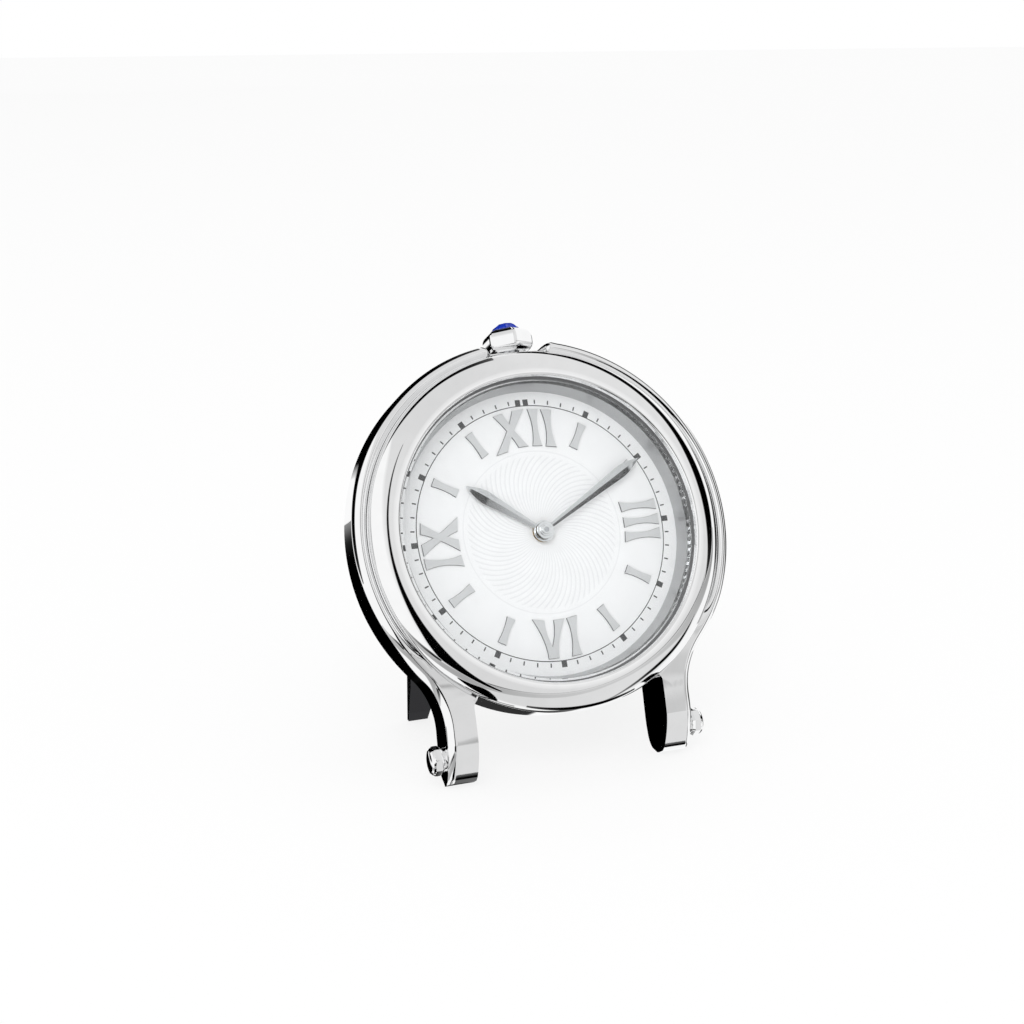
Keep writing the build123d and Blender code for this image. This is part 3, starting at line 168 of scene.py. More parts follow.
def half_plan():
    """Outer point, inner front point and hidden wall point of every cross-section from
    12 o'clock round to the right lug's tip, and the way inwards from its edge: along the
    crown's notch and its end, a quarter ellipse, round the band's circle, down the
    flare's circle, down the lug's flank, then in level rows."""
    flare = np.array([lug_outer_x + flare_r, flare_y])
    notch = np.linspace(0, notch_half, 9)
    outer = [np.stack([notch, np.full(notch.size, notch_floor_y)], axis=1)]
    turn = np.radians(np.linspace(7.5, 90, 12))
    end_x = notch_end_x - (notch_end_x - notch_half) * np.cos(turn)
    outer.append(np.stack([end_x, notch_floor_y + notch_end_rise * np.sin(turn)], axis=1))
    clock = np.radians(np.linspace(12.5, flare_clock, 84))
    outer.append(band_r * np.stack([np.sin(clock), np.cos(clock)], axis=1))
    outer = np.concatenate(outer)
    aim = np.arctan2(outer[:, 0], outer[:, 1])
    unit = np.stack([np.sin(aim), np.cos(aim)], axis=1)
    inner, wall, inward = unit * seat_r, unit * hidden_wall_r, -unit
    clock = np.radians(np.linspace(flare_clock, root_clock, 25))[1:]
    turn = np.radians(np.linspace(270 - flare_clock, 180, 25))[1:]
    arc = flare + flare_r * np.stack([np.cos(turn), np.sin(turn)], axis=1)
    aim = np.stack([np.sin(clock), np.cos(clock)], axis=1)
    meet = seat_r * aim
    hidden = aim * np.linspace(hidden_wall_r, hidden_wall_r + 1.2, clock.size)[:, None]
    outer, inner = np.concatenate([outer, arc]), np.concatenate([inner, meet])
    wall = np.concatenate([wall, hidden])
    inward = np.concatenate([inward, (arc - flare) / flare_r])
    turn = np.radians(np.linspace(53, 0, 10))
    root = np.array([lug_inner_x - root_round, root_y])
    round_in = root + root_round * np.stack([np.cos(turn), np.sin(turn)], axis=1)
    down = np.linspace(flare_y, level_rows_y, 11)[1:]
    outer = np.concatenate([outer, np.stack([np.full(down.size, lug_outer_x), down], axis=1)])
    inner, wall = np.concatenate([inner, round_in]), np.concatenate([wall, round_in])
    at_crease = crease_y + np.array([0, -0.1, -0.4])
    heel_turn = np.radians(np.linspace(6, 90, 22))
    low = np.concatenate([at_crease, np.linspace(-36.3, heel_y, 6), heel_y - heel_r * np.sin(heel_turn)])
    rows_out = np.concatenate([np.linspace(level_rows_y, crease_y + 0.1, 7)[1:], low])
    rows_in = np.concatenate([np.linspace(root_y, crease_y + 0.1, 7)[1:], low])
    outer = np.concatenate([outer, np.stack([np.full(rows_out.size, lug_outer_x), rows_out], axis=1)])
    side = np.stack([np.full(rows_in.size, lug_inner_x), rows_in], axis=1)
    inner, wall = np.concatenate([inner, side]), np.concatenate([wall, side])
    flank = np.tile([-1.0, 0.0], (down.size + rows_out.size, 1))
    return outer, inner, wall, np.concatenate([inward, flank])


def horseshoe_half():
    """Cross-sections of the band and lug. Each is a loop: up the hidden wall, across the
    seat, over the front face, round the outer edge by a superellipse quarter, down the
    flank, in along the back bevel and across the back. The front dips at the crown's
    notch, and the back bevel keeps clear of the hidden wall."""
    outer, inner, wall, inward = half_plan()
    y = outer[:, 1]
    on_lug = smooth_step(-y, 22.0, 34.0)
    front, back = front_height(y), back_height(y)
    room = np.linalg.norm(outer - inner, axis=1)
    tall = front - back
    edge_in = np.minimum(edge_in_band + (edge_lug - edge_in_band) * on_lug, 0.6 * room)
    edge_down = np.minimum(edge_down_band + (edge_lug - edge_down_band) * on_lug, 0.35 * tall)
    power = 2.0 - 0.5 * on_lug
    lip = lip_drop * smooth_step(y, -24.0, -15.0)
    shoulder = outer + inward * edge_in[:, None]
    share = np.array([0.0, 0.1, 0.35, 0.6, 0.8, 0.93])
    across = inner[:, None] + (shoulder - inner)[:, None] * share[None, :, None]
    dip = notch_dip * (1 - smooth_step(outer[:, 0], 4.9, 6.4)) * (y > 30)
    rise = front_height(across[..., 1]) - lip[:, None] * (1 - share) ** 1.4 - dip[:, None]
    top = np.concatenate([across, rise[..., None]], axis=-1)
    turn = np.radians(np.linspace(0, 90, 13))[None, :]
    sin_part = np.sin(turn) ** (2 / power[:, None])
    cos_part = np.cos(turn) ** (2 / power[:, None])
    plan = outer[:, None] + inward[:, None] * (edge_in[:, None] * (1 - sin_part))[..., None]
    level = front_height(plan[..., 1]) - edge_down[:, None] * (1 - cos_part) - dip[:, None]
    rounding = np.concatenate([plan, level[..., None]], axis=-1)
    low = front - edge_down - dip
    bevel_y = [-41.5, heel_y, -32.8, -28.0, -23.1, -20.0]
    bevel_in = soft_line(y, bevel_y, [1.3, 1.7, 2.4, 3.3, 4.3, 4.3], 1.0)
    flank_low = soft_line(y, bevel_y, [-9.0, -8.1, -6.8, -5.3, -3.8, -3.8], 1.0)
    bevel_in = np.minimum(bevel_in, np.linalg.norm(outer - wall, axis=1) - 0.6)
    flank_low = np.where(y < heel_y, back + np.minimum(1.8, 0.35 * tall), flank_low)
    drop = np.linspace(0, 1, 6)[None, 1:]
    flank_heights = low[:, None] + (flank_low - low)[:, None] * drop
    flank = np.concatenate([np.repeat(outer[:, None], drop.size, axis=1), flank_heights[..., None]], axis=-1)
    rim = outer + inward * bevel_in[:, None]
    rim_edge = np.concatenate([rim, back_height(rim[:, 1])[:, None]], axis=-1)[:, None]
    share = np.linspace(0, 1, 6)[None, 1:, None]
    under = rim[:, None] + (wall - rim)[:, None] * share
    under = np.concatenate([under, back_height(under[..., 1])[..., None]], axis=-1)
    no_seat = np.linalg.norm(wall - inner, axis=1) < 0.01
    inner_top = top[:, 0, 2]
    seat_top = np.where(no_seat, inner_top, np.minimum(seat_z, inner_top))
    wall_top = np.minimum(front_height(wall[:, 1]) - lip, np.minimum(seat_z, seat_top))
    wall_top = np.where(no_seat, inner_top, wall_top)
    wall_front = np.concatenate([wall, wall_top[:, None]], axis=-1)[:, None]
    seat = np.concatenate([inner, seat_top[:, None]], axis=-1)[:, None]
    return np.concatenate([wall_front, seat, top, rounding, flank, rim_edge, under], axis=1)


def ring(profile, turns=256):
    """A closed profile of (radius, height) points turned about the dial's axis."""
    angle = np.linspace(0, 2 * np.pi, turns, endpoint=False)
    radius, height = np.asarray(profile, dtype=float).T
    x = np.sin(angle)[:, None] * radius
    y = np.cos(angle)[:, None] * radius
    return np.stack([x, y, np.broadcast_to(height, x.shape)], axis=-1)


def node(tree, kind, **inputs):
    """A new node with its inputs set: a value is written on the socket, a node or a
    socket of one is linked to it. A key is the socket's name, or n and its number."""
    made = tree.nodes.new(kind)
    for key, value in inputs.items():
        socket = made.inputs[int(key[1:]) if key.startswith("n") else key.replace("_", " ")]
        if isinstance(value, bpy.types.Node):
            tree.links.new(value.outputs[0], socket)
        elif isinstance(value, bpy.types.NodeSocket):
            tree.links.new(value, socket)
        else:
            socket.default_value = value
    return made


def finish_of(name, colour, metallic, roughness, spread, bump, scale, grain=(1, 1, 1), **extra):
    """A material: an even colour that noise darkens a little, roughness that varies by
    the spread about its middle, and a bump of the given height in millimetres. The
    noise is at the scale, in spots per metre, stretched by the grain."""
    material = bpy.data.materials.new(name)
    material.use_nodes = True
    tree = material.node_tree
    shader = tree.nodes["Principled BSDF"]
    place = node(tree, "ShaderNodeTexCoord")
    mapping = node(tree, "ShaderNodeMapping", Vector=place.outputs["Object"], Scale=grain)
    noise = node(tree, "ShaderNodeTexNoise", Vector=mapping, Scale=scale, Detail=4.0)
    mix = node(tree, "ShaderNodeMix", n0=noise.outputs["Fac"])
    mix.data_type = "RGBA"
    mix.inputs[6].default_value = (*[0.93 * part for part in colour], 1)
    mix.inputs[7].default_value = (*colour, 1)
    tree.links.new(mix.outputs[2], shader.inputs["Base Color"])
    rough = node(tree, "ShaderNodeMapRange", Value=noise.outputs["Fac"])
    rough.inputs["To Min"].default_value = max(roughness - spread, 0.0)
    rough.inputs["To Max"].default_value = roughness + spread
    tree.links.new(rough.outputs[0], shader.inputs["Roughness"])
    relief = node(tree, "ShaderNodeBump", Height=noise.outputs["Fac"], Distance=bump / 1000, Strength=1.0)
    tree.links.new(relief.outputs[0], shader.inputs["Normal"])
    shader.inputs["Metallic"].default_value = metallic
    for key, value in extra.items():
        shader.inputs[key.replace("_", " ")].default_value = value
    return material


def dress(name, material):
    """Gives a piece or a carried-over node its one material."""
    piece = bpy.data.objects[name]
    piece.data.materials.clear()
    piece.data.materials.append(material)
    return piece


def carry(names, material):
    """Gives nodes that keep their own shape a material."""
    for name in names:
        dress(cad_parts[name].name, material)


polished_steel = finish_of("polished_steel", (0.96, 0.962, 0.965), 1.0, 0.04, 0.015, 0.00002, 400.0)
right = horseshoe_half()
left = right[1:] * np.array([-1, 1, 1])
whole = np.concatenate([left[::-1], right])
drum = ring([
    (bore_r, band_back_z), (bore_r, seat_z), (drum_r - 0.1, seat_z), (drum_r, seat_z - 0.1),
    (drum_r, band_back_z + 1.4), (drum_r - 1.3, band_back_z),
])
case = solid_from("case", [(whole, False), (drum, True)], 28.0)
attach(case, "clock_case")
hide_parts("case_middle")
dress("case", polished_steel)

# Bezel: a turned and polished steel ring that snaps on round the crystal. It is highest
# by its tightly rounded inner rim (a superellipse) and falls outwards in a quarter of
# an ellipse.
rim_r = 27.55
rim_top_z = 5.10
crest_r = 28.6
crest_z = 6.45
dome_foot_r = 32.7
dome_foot_z = 3.60
skirt_outer_r = 29.55
skirt_inner_r = 28.95
skirt_low_z = 1.0
dome_turn = np.radians(np.linspace(0, 90, 37))
inner_dome = np.stack([
    crest_r - (crest_r - rim_r) * np.cos(dome_turn) ** 0.45,
    rim_top_z + (crest_z - rim_top_z) * np.sin(dome_turn) ** 0.45,
], axis=1)
outer_dome = np.stack([
    crest_r + (dome_foot_r - crest_r) * np.sin(dome_turn),
    dome_foot_z + (crest_z - dome_foot_z) * np.cos(dome_turn),
], axis=1)
dome = np.concatenate([inner_dome, outer_dome[1:]])
foot = [
    (dome_foot_r - 0.02, 3.3), (dome_foot_r - 0.08, 3.05), (dome_foot_r - 0.2, seat_z),
    (skirt_outer_r, seat_z), (skirt_outer_r, skirt_low_z), (skirt_inner_r, skirt_low_z),
    (skirt_inner_r, seat_z), (rim_r, seat_z),
]
bezel = solid_from("bezel_ring", [(ring(np.concatenate([dome, foot]), 320), True)], 40.0)
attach(bezel, "clock_case")
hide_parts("bezel")
dress("bezel_ring", polished_steel)

# Crystal and its ring: a flat pane of mineral glass with a small bevel, held in the
# bezel by a thin smoke-coloured plastic ring.
clear_glass = finish_of("clear_glass", (0.97, 0.985, 0.99), 0.0, 0.004, 0.003, 0.000001, 300.0,
                        Transmission_Weight=1.0, IOR=1.45, Specular_IOR_Level=0.1)
smoke_ring = finish_of("smoke_ring", (0.16, 0.162, 0.165), 0.0, 0.30, 0.05, 0.0005, 2000.0)
carry(["crystal"], clear_glass)
carry(["crystal_gasket"], smoke_ring)
for name in ("crystal", "crystal_gasket"):
    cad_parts[name].visible_shadow = False
    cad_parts[name].visible_diffuse = False

# Flange: the sloping ring round the dial, silvered and finely turned, which shows the
# dial's marks faintly.
silvered = finish_of("silvered_flange", (0.56, 0.565, 0.57), 1.0, 0.38, 0.05, 0.0004, 700.0)
carry(["flange_ring"], silvered)

# Dial: a white lacquered disc. A sunburst of fine curved rays, inside a thin ring, is
# pressed into its middle before it is lacquered.
track_r = 24.0
dial_hole_r = 1.9
dial_r = 28.85
dial_thick = 0.4
ray_count = 66
ray_columns = 12
ray_end_r = 14.4
ray_curl = math.radians(38)
ray_half_share = 0.13
ring_r = 14.88
ring_half = 0.09
press_depth = 0.015


def sunburst():
    """Rows from the dial's hole out to its rim and back under it, each a turn of 12
    columns to a ray. The columns curl clockwise with the radius to the power 1.7, and
    the rays run along them: a groove's depth is a bell curve across the ray, faded out
    near the ring, and the ring is a bell curve of the radius."""
    columns = ray_columns * ray_count
    radius = np.concatenate([
        np.linspace(dial_hole_r, 13.6, 44), np.linspace(13.75, ray_end_r, 8), np.linspace(14.55, 15.2, 14),
        [16.0, 20.0, 24.0, 27.0, 28.6, dial_r],
    ])
    curl = ray_curl * (np.minimum(radius, ray_end_r) / ray_end_r) ** 1.7
    angle = np.linspace(0, 2 * np.pi, columns, endpoint=False)[None, :] + curl[:, None]
    across = (np.arange(columns) % ray_columns) / ray_columns
    across = np.minimum(across, 1 - across)
    rays = np.exp(-(across / ray_half_share) ** 2)[None, :] * (1 - smooth_step(radius, 13.7, 14.2))[:, None]
    ringed = np.exp(-((radius - ring_r) / ring_half) ** 2)[:, None]
    depth = np.maximum(rays, 0.8 * ringed)
    top = np.stack([
        np.sin(angle) * radius[:, None], np.cos(angle) * radius[:, None], -press_depth * depth,
    ], axis=-1)
    under = top[[-1, 0]].copy()
    under[..., 2] = -dial_thick
    return np.concatenate([top, under]), np.concatenate([depth, np.zeros((2, columns))])


dial_points, dial_depth = sunburst()
dial = solid_from("dial_plate", [(dial_points, True)], 50.0, dial_depth)
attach(dial, "clock_case")
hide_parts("dial")
white_lacquer = finish_of("white_lacquer", (0.95, 0.95, 0.955), 0.0, 0.34, 0.05, 0.0004, 2500.0)
tree = white_lacquer.node_tree
# The white is darkened towards 0.80 by each groove's depth: painted shade in the grooves, over lacquer of
# one colour.
groove_shade_node = node(tree, "ShaderNodeAttribute")
groove_shade_node.attribute_name = "groove_shade"
shaded = node(tree, "ShaderNodeMix")
shaded.data_type = "RGBA"
tree.links.new(groove_shade_node.outputs["Fac"], shaded.inputs[0])
tree.links.new(tree.nodes["Mix"].outputs[2], shaded.inputs[6])
shaded.inputs[7].default_value = (0.80, 0.80, 0.81, 1)
tree.links.new(shaded.outputs[2], tree.nodes["Principled BSDF"].inputs["Base Color"])
dress("dial_plate", white_lacquer)


# Minute track: printed in dark grey, a fine circle with a tick at each minute and a
# square at each hour, two of them at 12.
ink_half = 0.02
circle_inner_r = 23.32
circle_outer_r = 23.48


def at_clock(x, y, z, clock):
    """Points across and along a hand's or a mark's own length, and their height, turned
    with it clockwise to a clock angle in degrees."""
    turn = np.radians(clock)
    return np.stack([x * np.cos(turn) + y * np.sin(turn), y * np.cos(turn) - x * np.sin(turn), z], axis=1)


def mark(clock, radius, width, length, aside=0.0):
    """One printed mark of the track: a thin slab on the radius at a clock angle."""
    x = np.array([-1, 1, 1, -1]) * width / 2 + aside
    y = np.array([-1, -1, 1, 1]) * length / 2 + radius
    return np.stack([at_clock(x, y, np.full(4, height), clock) for height in (-ink_half, ink_half)])


track = [(mark(6 * minute, 1.005 * track_r, 0.24, 0.75), False) for minute in range(60) if minute % 5]
track += [(mark(30 * hour, track_r, 1.0, 1.15), False) for hour in range(1, 12)]
track += [(mark(0, track_r, 0.98, 1.15, aside), False) for aside in (-0.74, 0.74)]
circle = ring([
    (circle_inner_r, -ink_half), (circle_inner_r, ink_half),
    (circle_outer_r, ink_half), (circle_outer_r, -ink_half),
], 240)
track.append((circle, True))
dial_track = solid_from("minute_track", track, 20.0)
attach(dial_track, "clock_case")
track_ink = finish_of("track_ink", (0.050, 0.050, 0.052), 0.0, 0.45, 0.08, 0.0005, 4000.0)
dress("minute_track", track_ink)

# Numerals and batons: strokes cut from steel sheet, drawn in at the waist, satin on top,
# pinned to the dial. Their cut sides get a near-black copy of the steel: painted shade.
# Each stroke is its two outer corners, its two inner corners and half its waist, in
# shares of the track's radius, upright at 12 o'clock and turned from there to its
# clock angle.
slim = 0.020
broad = 0.024
marker_top_z = 0.25
overlap_rise = 0.012
foot_spread = 0.06
stroke_rows = 15
strokes = {
    0: [
        ((-0.243, 0.908), (-0.168, 0.925), (-0.080, 0.657), (-0.003, 0.662), broad),
        ((-0.088, 0.940), (0.006, 0.950), (-0.262, 0.610), (-0.172, 0.632), broad),
        ((0.035, 0.945), (0.118, 0.940), (0.034, 0.660), (0.108, 0.655), slim),
        ((0.140, 0.935), (0.225, 0.925), (0.138, 0.648), (0.220, 0.636), slim),
    ],
    90: [
        ((0.065, 0.943), (0.150, 0.938), (0.070, 0.658), (0.150, 0.646), slim),
        ((-0.044, 0.945), (0.040, 0.945), (-0.040, 0.660), (0.037, 0.660), slim),
        ((-0.160, 0.938), (-0.080, 0.943), (-0.160, 0.646), (-0.083, 0.658), slim),
    ],
    180: [
        ((0.035, 0.950), (0.115, 0.950), (0.103, 0.665), (0.195, 0.645), slim),
        ((0.033, 0.950), (0.112, 0.950), (-0.055, 0.668), (0.030, 0.670), slim),
        ((-0.150, 0.944), (-0.070, 0.952), (-0.156, 0.655), (-0.073, 0.668), slim),
    ],
    270: [
        ((-0.188, 0.938), (-0.106, 0.945), (-0.190, 0.648), (-0.108, 0.660), slim),
        ((-0.084, 0.942), (0.000, 0.948), (0.072, 0.660), (0.176, 0.645), broad),
        ((0.078, 0.944), (0.158, 0.932), (-0.074, 0.662), (0.010, 0.662), broad),
    ],
}
baton = ((-0.033, 0.912), (0.033, 0.912), (-0.033, 0.71), (0.033, 0.71), broad)


def stroke(shape, clock, top):
    """Rows down one stroke. Its sides are parabolas from the outer corners through the
    waist to the inner corners; the foot is wider than the top all round."""
    outer_left, outer_right, inner_left, inner_right = np.array(shape[:4]) * track_r
    middle = (outer_left + outer_right + inner_left + inner_right) / 4
    along = outer_left + outer_right - inner_left - inner_right
    along /= np.linalg.norm(along)
    across = np.array([along[1], -along[0]]) * shape[4] * track_r
    t = np.linspace(0, 1, stroke_rows)[:, None]
    ends, waist = (1 - t) * (1 - 2 * t), 4 * t * (1 - t)
    left = ends * outer_left + waist * (middle - across) + t * (2 * t - 1) * inner_left
    right = ends * outer_right + waist * (middle + across) + t * (2 * t - 1) * inner_right
    out = (right - left) / np.linalg.norm(right - left, axis=1, keepdims=True) * foot_spread
    lengthwise = along * foot_spread * np.where(t < 0.01, 1, np.where(t > 0.99, -1, 0))
    plans = [left - out + lengthwise, left, right, right + out + lengthwise]
    return np.stack([
        at_clock(*plan.T, np.full(stroke_rows, height), clock)
        for plan, height in zip(plans, (0.0, top, top, 0.0))
    ], axis=1)


def paint_sides_shaded(piece, face, side, lean_limit=0.75):
    """Gives the faces that look along the dial's axis one material, and the rest, the sides, another, darker
    one: painted shade.
    """
    piece.data.materials.clear()
    piece.data.materials.append(face)
    piece.data.materials.append(side)
    normals = np.empty(len(piece.data.polygons) * 3)
    piece.data.polygons.foreach_get("normal", normals)
    out = np.array([0.0, -math.cos(lean), math.sin(lean)])
    sideways = (normals.reshape(-1, 3) @ out < lean_limit).astype(np.int32)
    piece.data.polygons.foreach_set("material_index", sideways)


marker_top = finish_of("marker_steel", (0.70, 0.705, 0.71), 0.35, 0.32, 0.05, 0.0006, 1500.0)
# The sides' near-black colour is painted shade, not the steel's own.
marker_side = finish_of("marker_side", (0.11, 0.11, 0.115), 0.3, 0.45, 0.08, 0.0006, 1500.0)
numerals = [
    (stroke(shape, clock, marker_top_z + overlap_rise * index), False)
    for clock, shapes in strokes.items() for index, shape in enumerate(shapes)
]
batons = [(stroke(baton, clock, marker_top_z), False) for clock in range(30, 360, 30) if clock % 90]
for name, shells, stands_for in (
    ("numerals", numerals, "hour_numerals"), ("batons", batons, "hour_batons"),
):
    piece = solid_from(name, shells, 20.0)
    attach(piece, "clock_case")
    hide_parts(stands_for)
    # Faces turned away from the dial's axis take the darker material: painted shade.
    paint_sides_shaded(piece, marker_top, marker_side)

# Hands: leaf shapes of polished steel folded to a sharp ridge, each pressed on its
# hub, with a small stepped cap on top.
minute_clock = 60.5
hour_clock = 305.8
minute_base_z = 1.5
hour_base_z = 0.7
hub_thick = 0.4
foot_ease = 0.05
ease_high = 0.06
hand_thick = 0.10
root_half = 0.36
point_half = 0.02
hand_rows = 41
hand_steel = finish_of("hand_steel", (0.84, 0.845, 0.85), 1.0, 0.06, 0.02, 0.0001, 1200.0)


def leaf(length, belly, half_width, base, clock, fold):
    """Rows along a hand: its half width grows from the root to the belly and falls to
    the point by a power curve, and the ridge stands the fold times it above the edges."""
    s = np.linspace(0, 1, hand_rows)
    swell = root_half + (half_width - root_half) * (np.minimum(s, belly) / belly) ** 1.15
    point = 1 - (np.clip(s - belly, 0, None) / (1 - belly)) ** 1.7
    width = np.maximum(swell * point, point_half)
    low = np.full(hand_rows, base)
    edge = low + hand_thick
    sections = ((-width, low), (-width, edge), (0 * width, edge + fold * width), (width, edge), (width, low))
    return np.stack([at_clock(x, s * length, z, clock) for x, z in sections], axis=1)


def hub(bore, outer, base, top_ease):
    """A hand's hub: a ring round its bore, its outer corners eased above and below."""
    high = base + hub_thick
    return ring([
        (bore, base), (outer - foot_ease, base), (outer, base + ease_high), (outer, high - ease_high),
        (outer - top_ease, high), (bore, high),
    ], 64)


minute_shells = [
    (leaf(23.3, 0.80, 1.12, minute_base_z, minute_clock, 0.53), False),
    (hub(0.87, 1.6, minute_base_z, 0.06), True),
]
hour_shells = [
    (leaf(16.3, 0.74, 1.25, hour_base_z, hour_clock, 0.46), False),
    (hub(1.52, 1.95, hour_base_z, 0.05), True),
]
cap_profile = [
    (0.47, 1.9), (1.1, 1.9), (1.12, 1.94), (1.12, 2.1), (1.08, 2.14), (0.84, 2.14), (0.82, 2.16),
    (0.82, 2.31), (0.78, 2.35), (0.47, 2.35),
]
cap_shells = [(ring(cap_profile, 64), True)]
for name, shells, body, stands_for in (
    ("minute_hand_leaf", minute_shells, "minute_work", "minute_hand"),
    ("hour_hand_leaf", hour_shells, "hour_work", "hour_hand"),
    ("hub_cap", cap_shells, "minute_work", "hand_cap"),
):
    piece = solid_from(name, shells, 12.0)
    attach(piece, body)
    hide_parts(stands_for)
    dress(piece.name, hand_steel)

# Movement, which the case hides: nickelled plate and bridge, brass wheels, steel
# pinions, coil, circuit and cell, in a moulded ring.
brass = finish_of("wheel_brass", (0.80, 0.62, 0.30), 1.0, 0.28, 0.06, 0.003, 1800.0)
nickel = finish_of("plate_nickel", (0.70, 0.69, 0.66), 1.0, 0.33, 0.06, 0.004, 1200.0, (1, 8, 1))
pivot_steel = finish_of("pivot_steel", (0.60, 0.61, 0.63), 1.0, 0.22, 0.06, 0.002, 1500.0)
copper = finish_of("coil_copper", (0.74, 0.36, 0.18), 1.0, 0.35, 0.08, 0.02, 900.0, (12, 1, 1))
board = finish_of("board_green", (0.05, 0.26, 0.13), 0.0, 0.30, 0.06, 0.004, 900.0)
resin = finish_of("chip_resin", (0.025, 0.025, 0.028), 0.0, 0.45, 0.08, 0.004, 2500.0)
drawn_can = finish_of("drawn_can", (0.78, 0.79, 0.80), 1.0, 0.25, 0.05, 0.002, 900.0)
cell_steel = finish_of("cell_steel", (0.74, 0.75, 0.76), 1.0, 0.25, 0.05, 0.002, 900.0)
acetal = finish_of("moulded_acetal", (0.82, 0.82, 0.79), 0.0, 0.50, 0.08, 0.006, 700.0)
rubber = finish_of("seal_rubber", (0.035, 0.035, 0.037), 0.0, 0.62, 0.08, 0.006, 1500.0)
carry(["hour_wheel", "minute_wheel", "third_wheel"], brass)
carry(["main_plate", "train_bridge"], nickel)
carry(["centre_wheel", "cannon_pinion", "rotor", "bridge_screws", "stator", "coil_core", "setting_stem",
       "setting_pinion", "stem_clip", "crown_tube"], pivot_steel)
carry(["coil"], copper)
carry(["circuit_board"], board)
carry(["circuit_chip"], resin)
carry(["quartz_resonator"], drawn_can)
carry(["battery", "battery_strap"], cell_steel)
carry(["movement_holder"], acetal)
carry(["back_gasket", "crown_seal"], rubber)

# Crown: a steel barrel with six flats and a faceted blue stone let into its top.
stone_blue = finish_of("stone_blue", (0.02, 0.06, 0.62), 0.0, 0.03, 0.01, 0.0002, 900.0,
                       Transmission_Weight=0.35, IOR=1.65)


def faceted(rows, flats, turn, columns=96):
    """Rows of a turned knob with flats round it, from (height, radius, flat) rows: each
    radius is cut to the flat's distance over the cosine of the angle from the nearest
    flat's middle. Returns two coordinates across the knob's axis and one along it."""
    height, radius, flat = np.asarray(rows, dtype=float).T[..., None]
    angle = np.linspace(0, 2 * np.pi, columns, endpoint=False)
    step = 2 * np.pi / flats
    off = (angle - math.radians(turn) + step / 2) % step - step / 2
    reach = np.minimum(radius, flat / np.cos(off))
    return reach * np.sin(angle), reach * np.cos(angle), np.broadcast_to(height, reach.shape)


# The barrel's six flats swell with its height: 1 - 0.28 |u|^3.2 of the widest, where u
# runs from -1 at the foot to 1 at the rim, and their corners are eased.
crown_foot_y = 33.7
crown_axis_z = -1.4
barrel_half = 2.17
barrel_flat = 4.16
barrel_corner_share = 1.125
stone_foot_y = 38.0


def on_crown(name, rows, flats, turn, foot_y):
    """A faceted solid that stands on the crown's axis, with its foot at a height."""
    across, out, up = faceted(rows, flats, turn)
    return solid_from(name, [(np.stack([across, up + foot_y, out + crown_axis_z], axis=-1), False)], 9.0)


u = np.linspace(-1, 1, 31)
swell = barrel_flat * (1 - 0.28 * np.abs(u) ** 3.2)
barrel = np.stack([barrel_half * (1 + u), barrel_corner_share * swell, swell], axis=1)
crown = on_crown("crown_barrel", barrel, 6, 30.0, crown_foot_y)
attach(crown, "crown_group")
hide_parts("crown")
dress("crown_barrel", polished_steel)
cut_stone = [(0.0, 2.65, 2.5), (0.3, 2.74, 2.6), (0.35, 2.74, 2.6), (0.95, 2.4, 2.08), (1.40, 2.0, 1.45)]
stone = on_crown("set_stone", cut_stone, 8, 7.5, stone_foot_y)
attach(stone, "crown_group")
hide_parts("crown_stone")
dress("set_stone", stone_blue)

# Studs: turned steel pins with a collar and a faceted head, one in each lug's flank.
# The head swells, has eight flats round its waist and ends in a low dome. A round row
# has its flats out of reach.
stud_y = -37.3
stud_z = -4.2
no_flat = 9
stud_rows = [
    (-0.6, 1.9, no_flat), (0.0, 2.05, no_flat), (0.45, 2.1, no_flat), (0.5, 2.05, no_flat),
    (0.55, 2.25, 2.1), (1.0, 2.6, 2.42), (1.6, 2.64, 2.46), (2.1, 2.58, 2.4),
    (2.15, 2.45, no_flat), (2.5, 2.3, no_flat), (2.75, 2.0, no_flat), (2.92, 1.5, no_flat),
    (3.0, 1.0, no_flat), (3.04, 0.4, no_flat),
]
across, out, up = faceted(stud_rows, 8, 22.5)
studs = [
    (np.stack([side * (up + lug_outer_x), across + stud_y, out + stud_z], axis=-1), False)
    for side in (-1, 1)
]
stud_heads = solid_from("stud_heads", studs, 12.0)
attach(stud_heads, "clock_case")
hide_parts("lug_studs")
dress("stud_heads", polished_steel)

# Case back, bracket and hinge: the snap-on back carries a steel bracket on two
# screws, with the pin of the rear stand through its knuckle.
brushed_steel = finish_of("brushed_steel", (0.80, 0.81, 0.82), 1.0, 0.20, 0.06, 0.002, 500.0, (1, 12, 12))
carry(["case_back", "hinge_bracket"], brushed_steel)
carry(["bracket_screws", "hinge_pin"], pivot_steel)

# Rear stand: two legs cut from one steel plate, joined by an arch below the hinge, in
# polished steel coloured near black: a painted dark reflection of the shade under the clock.
# Near black: painted dark reflection, not the steel's own colour.
dark_steel = finish_of("dark_steel", (0.05, 0.05, 0.053), 1.0, 0.14, 0.04, 0.0005, 500.0)
carry(["rear_stand"], dark_steel)

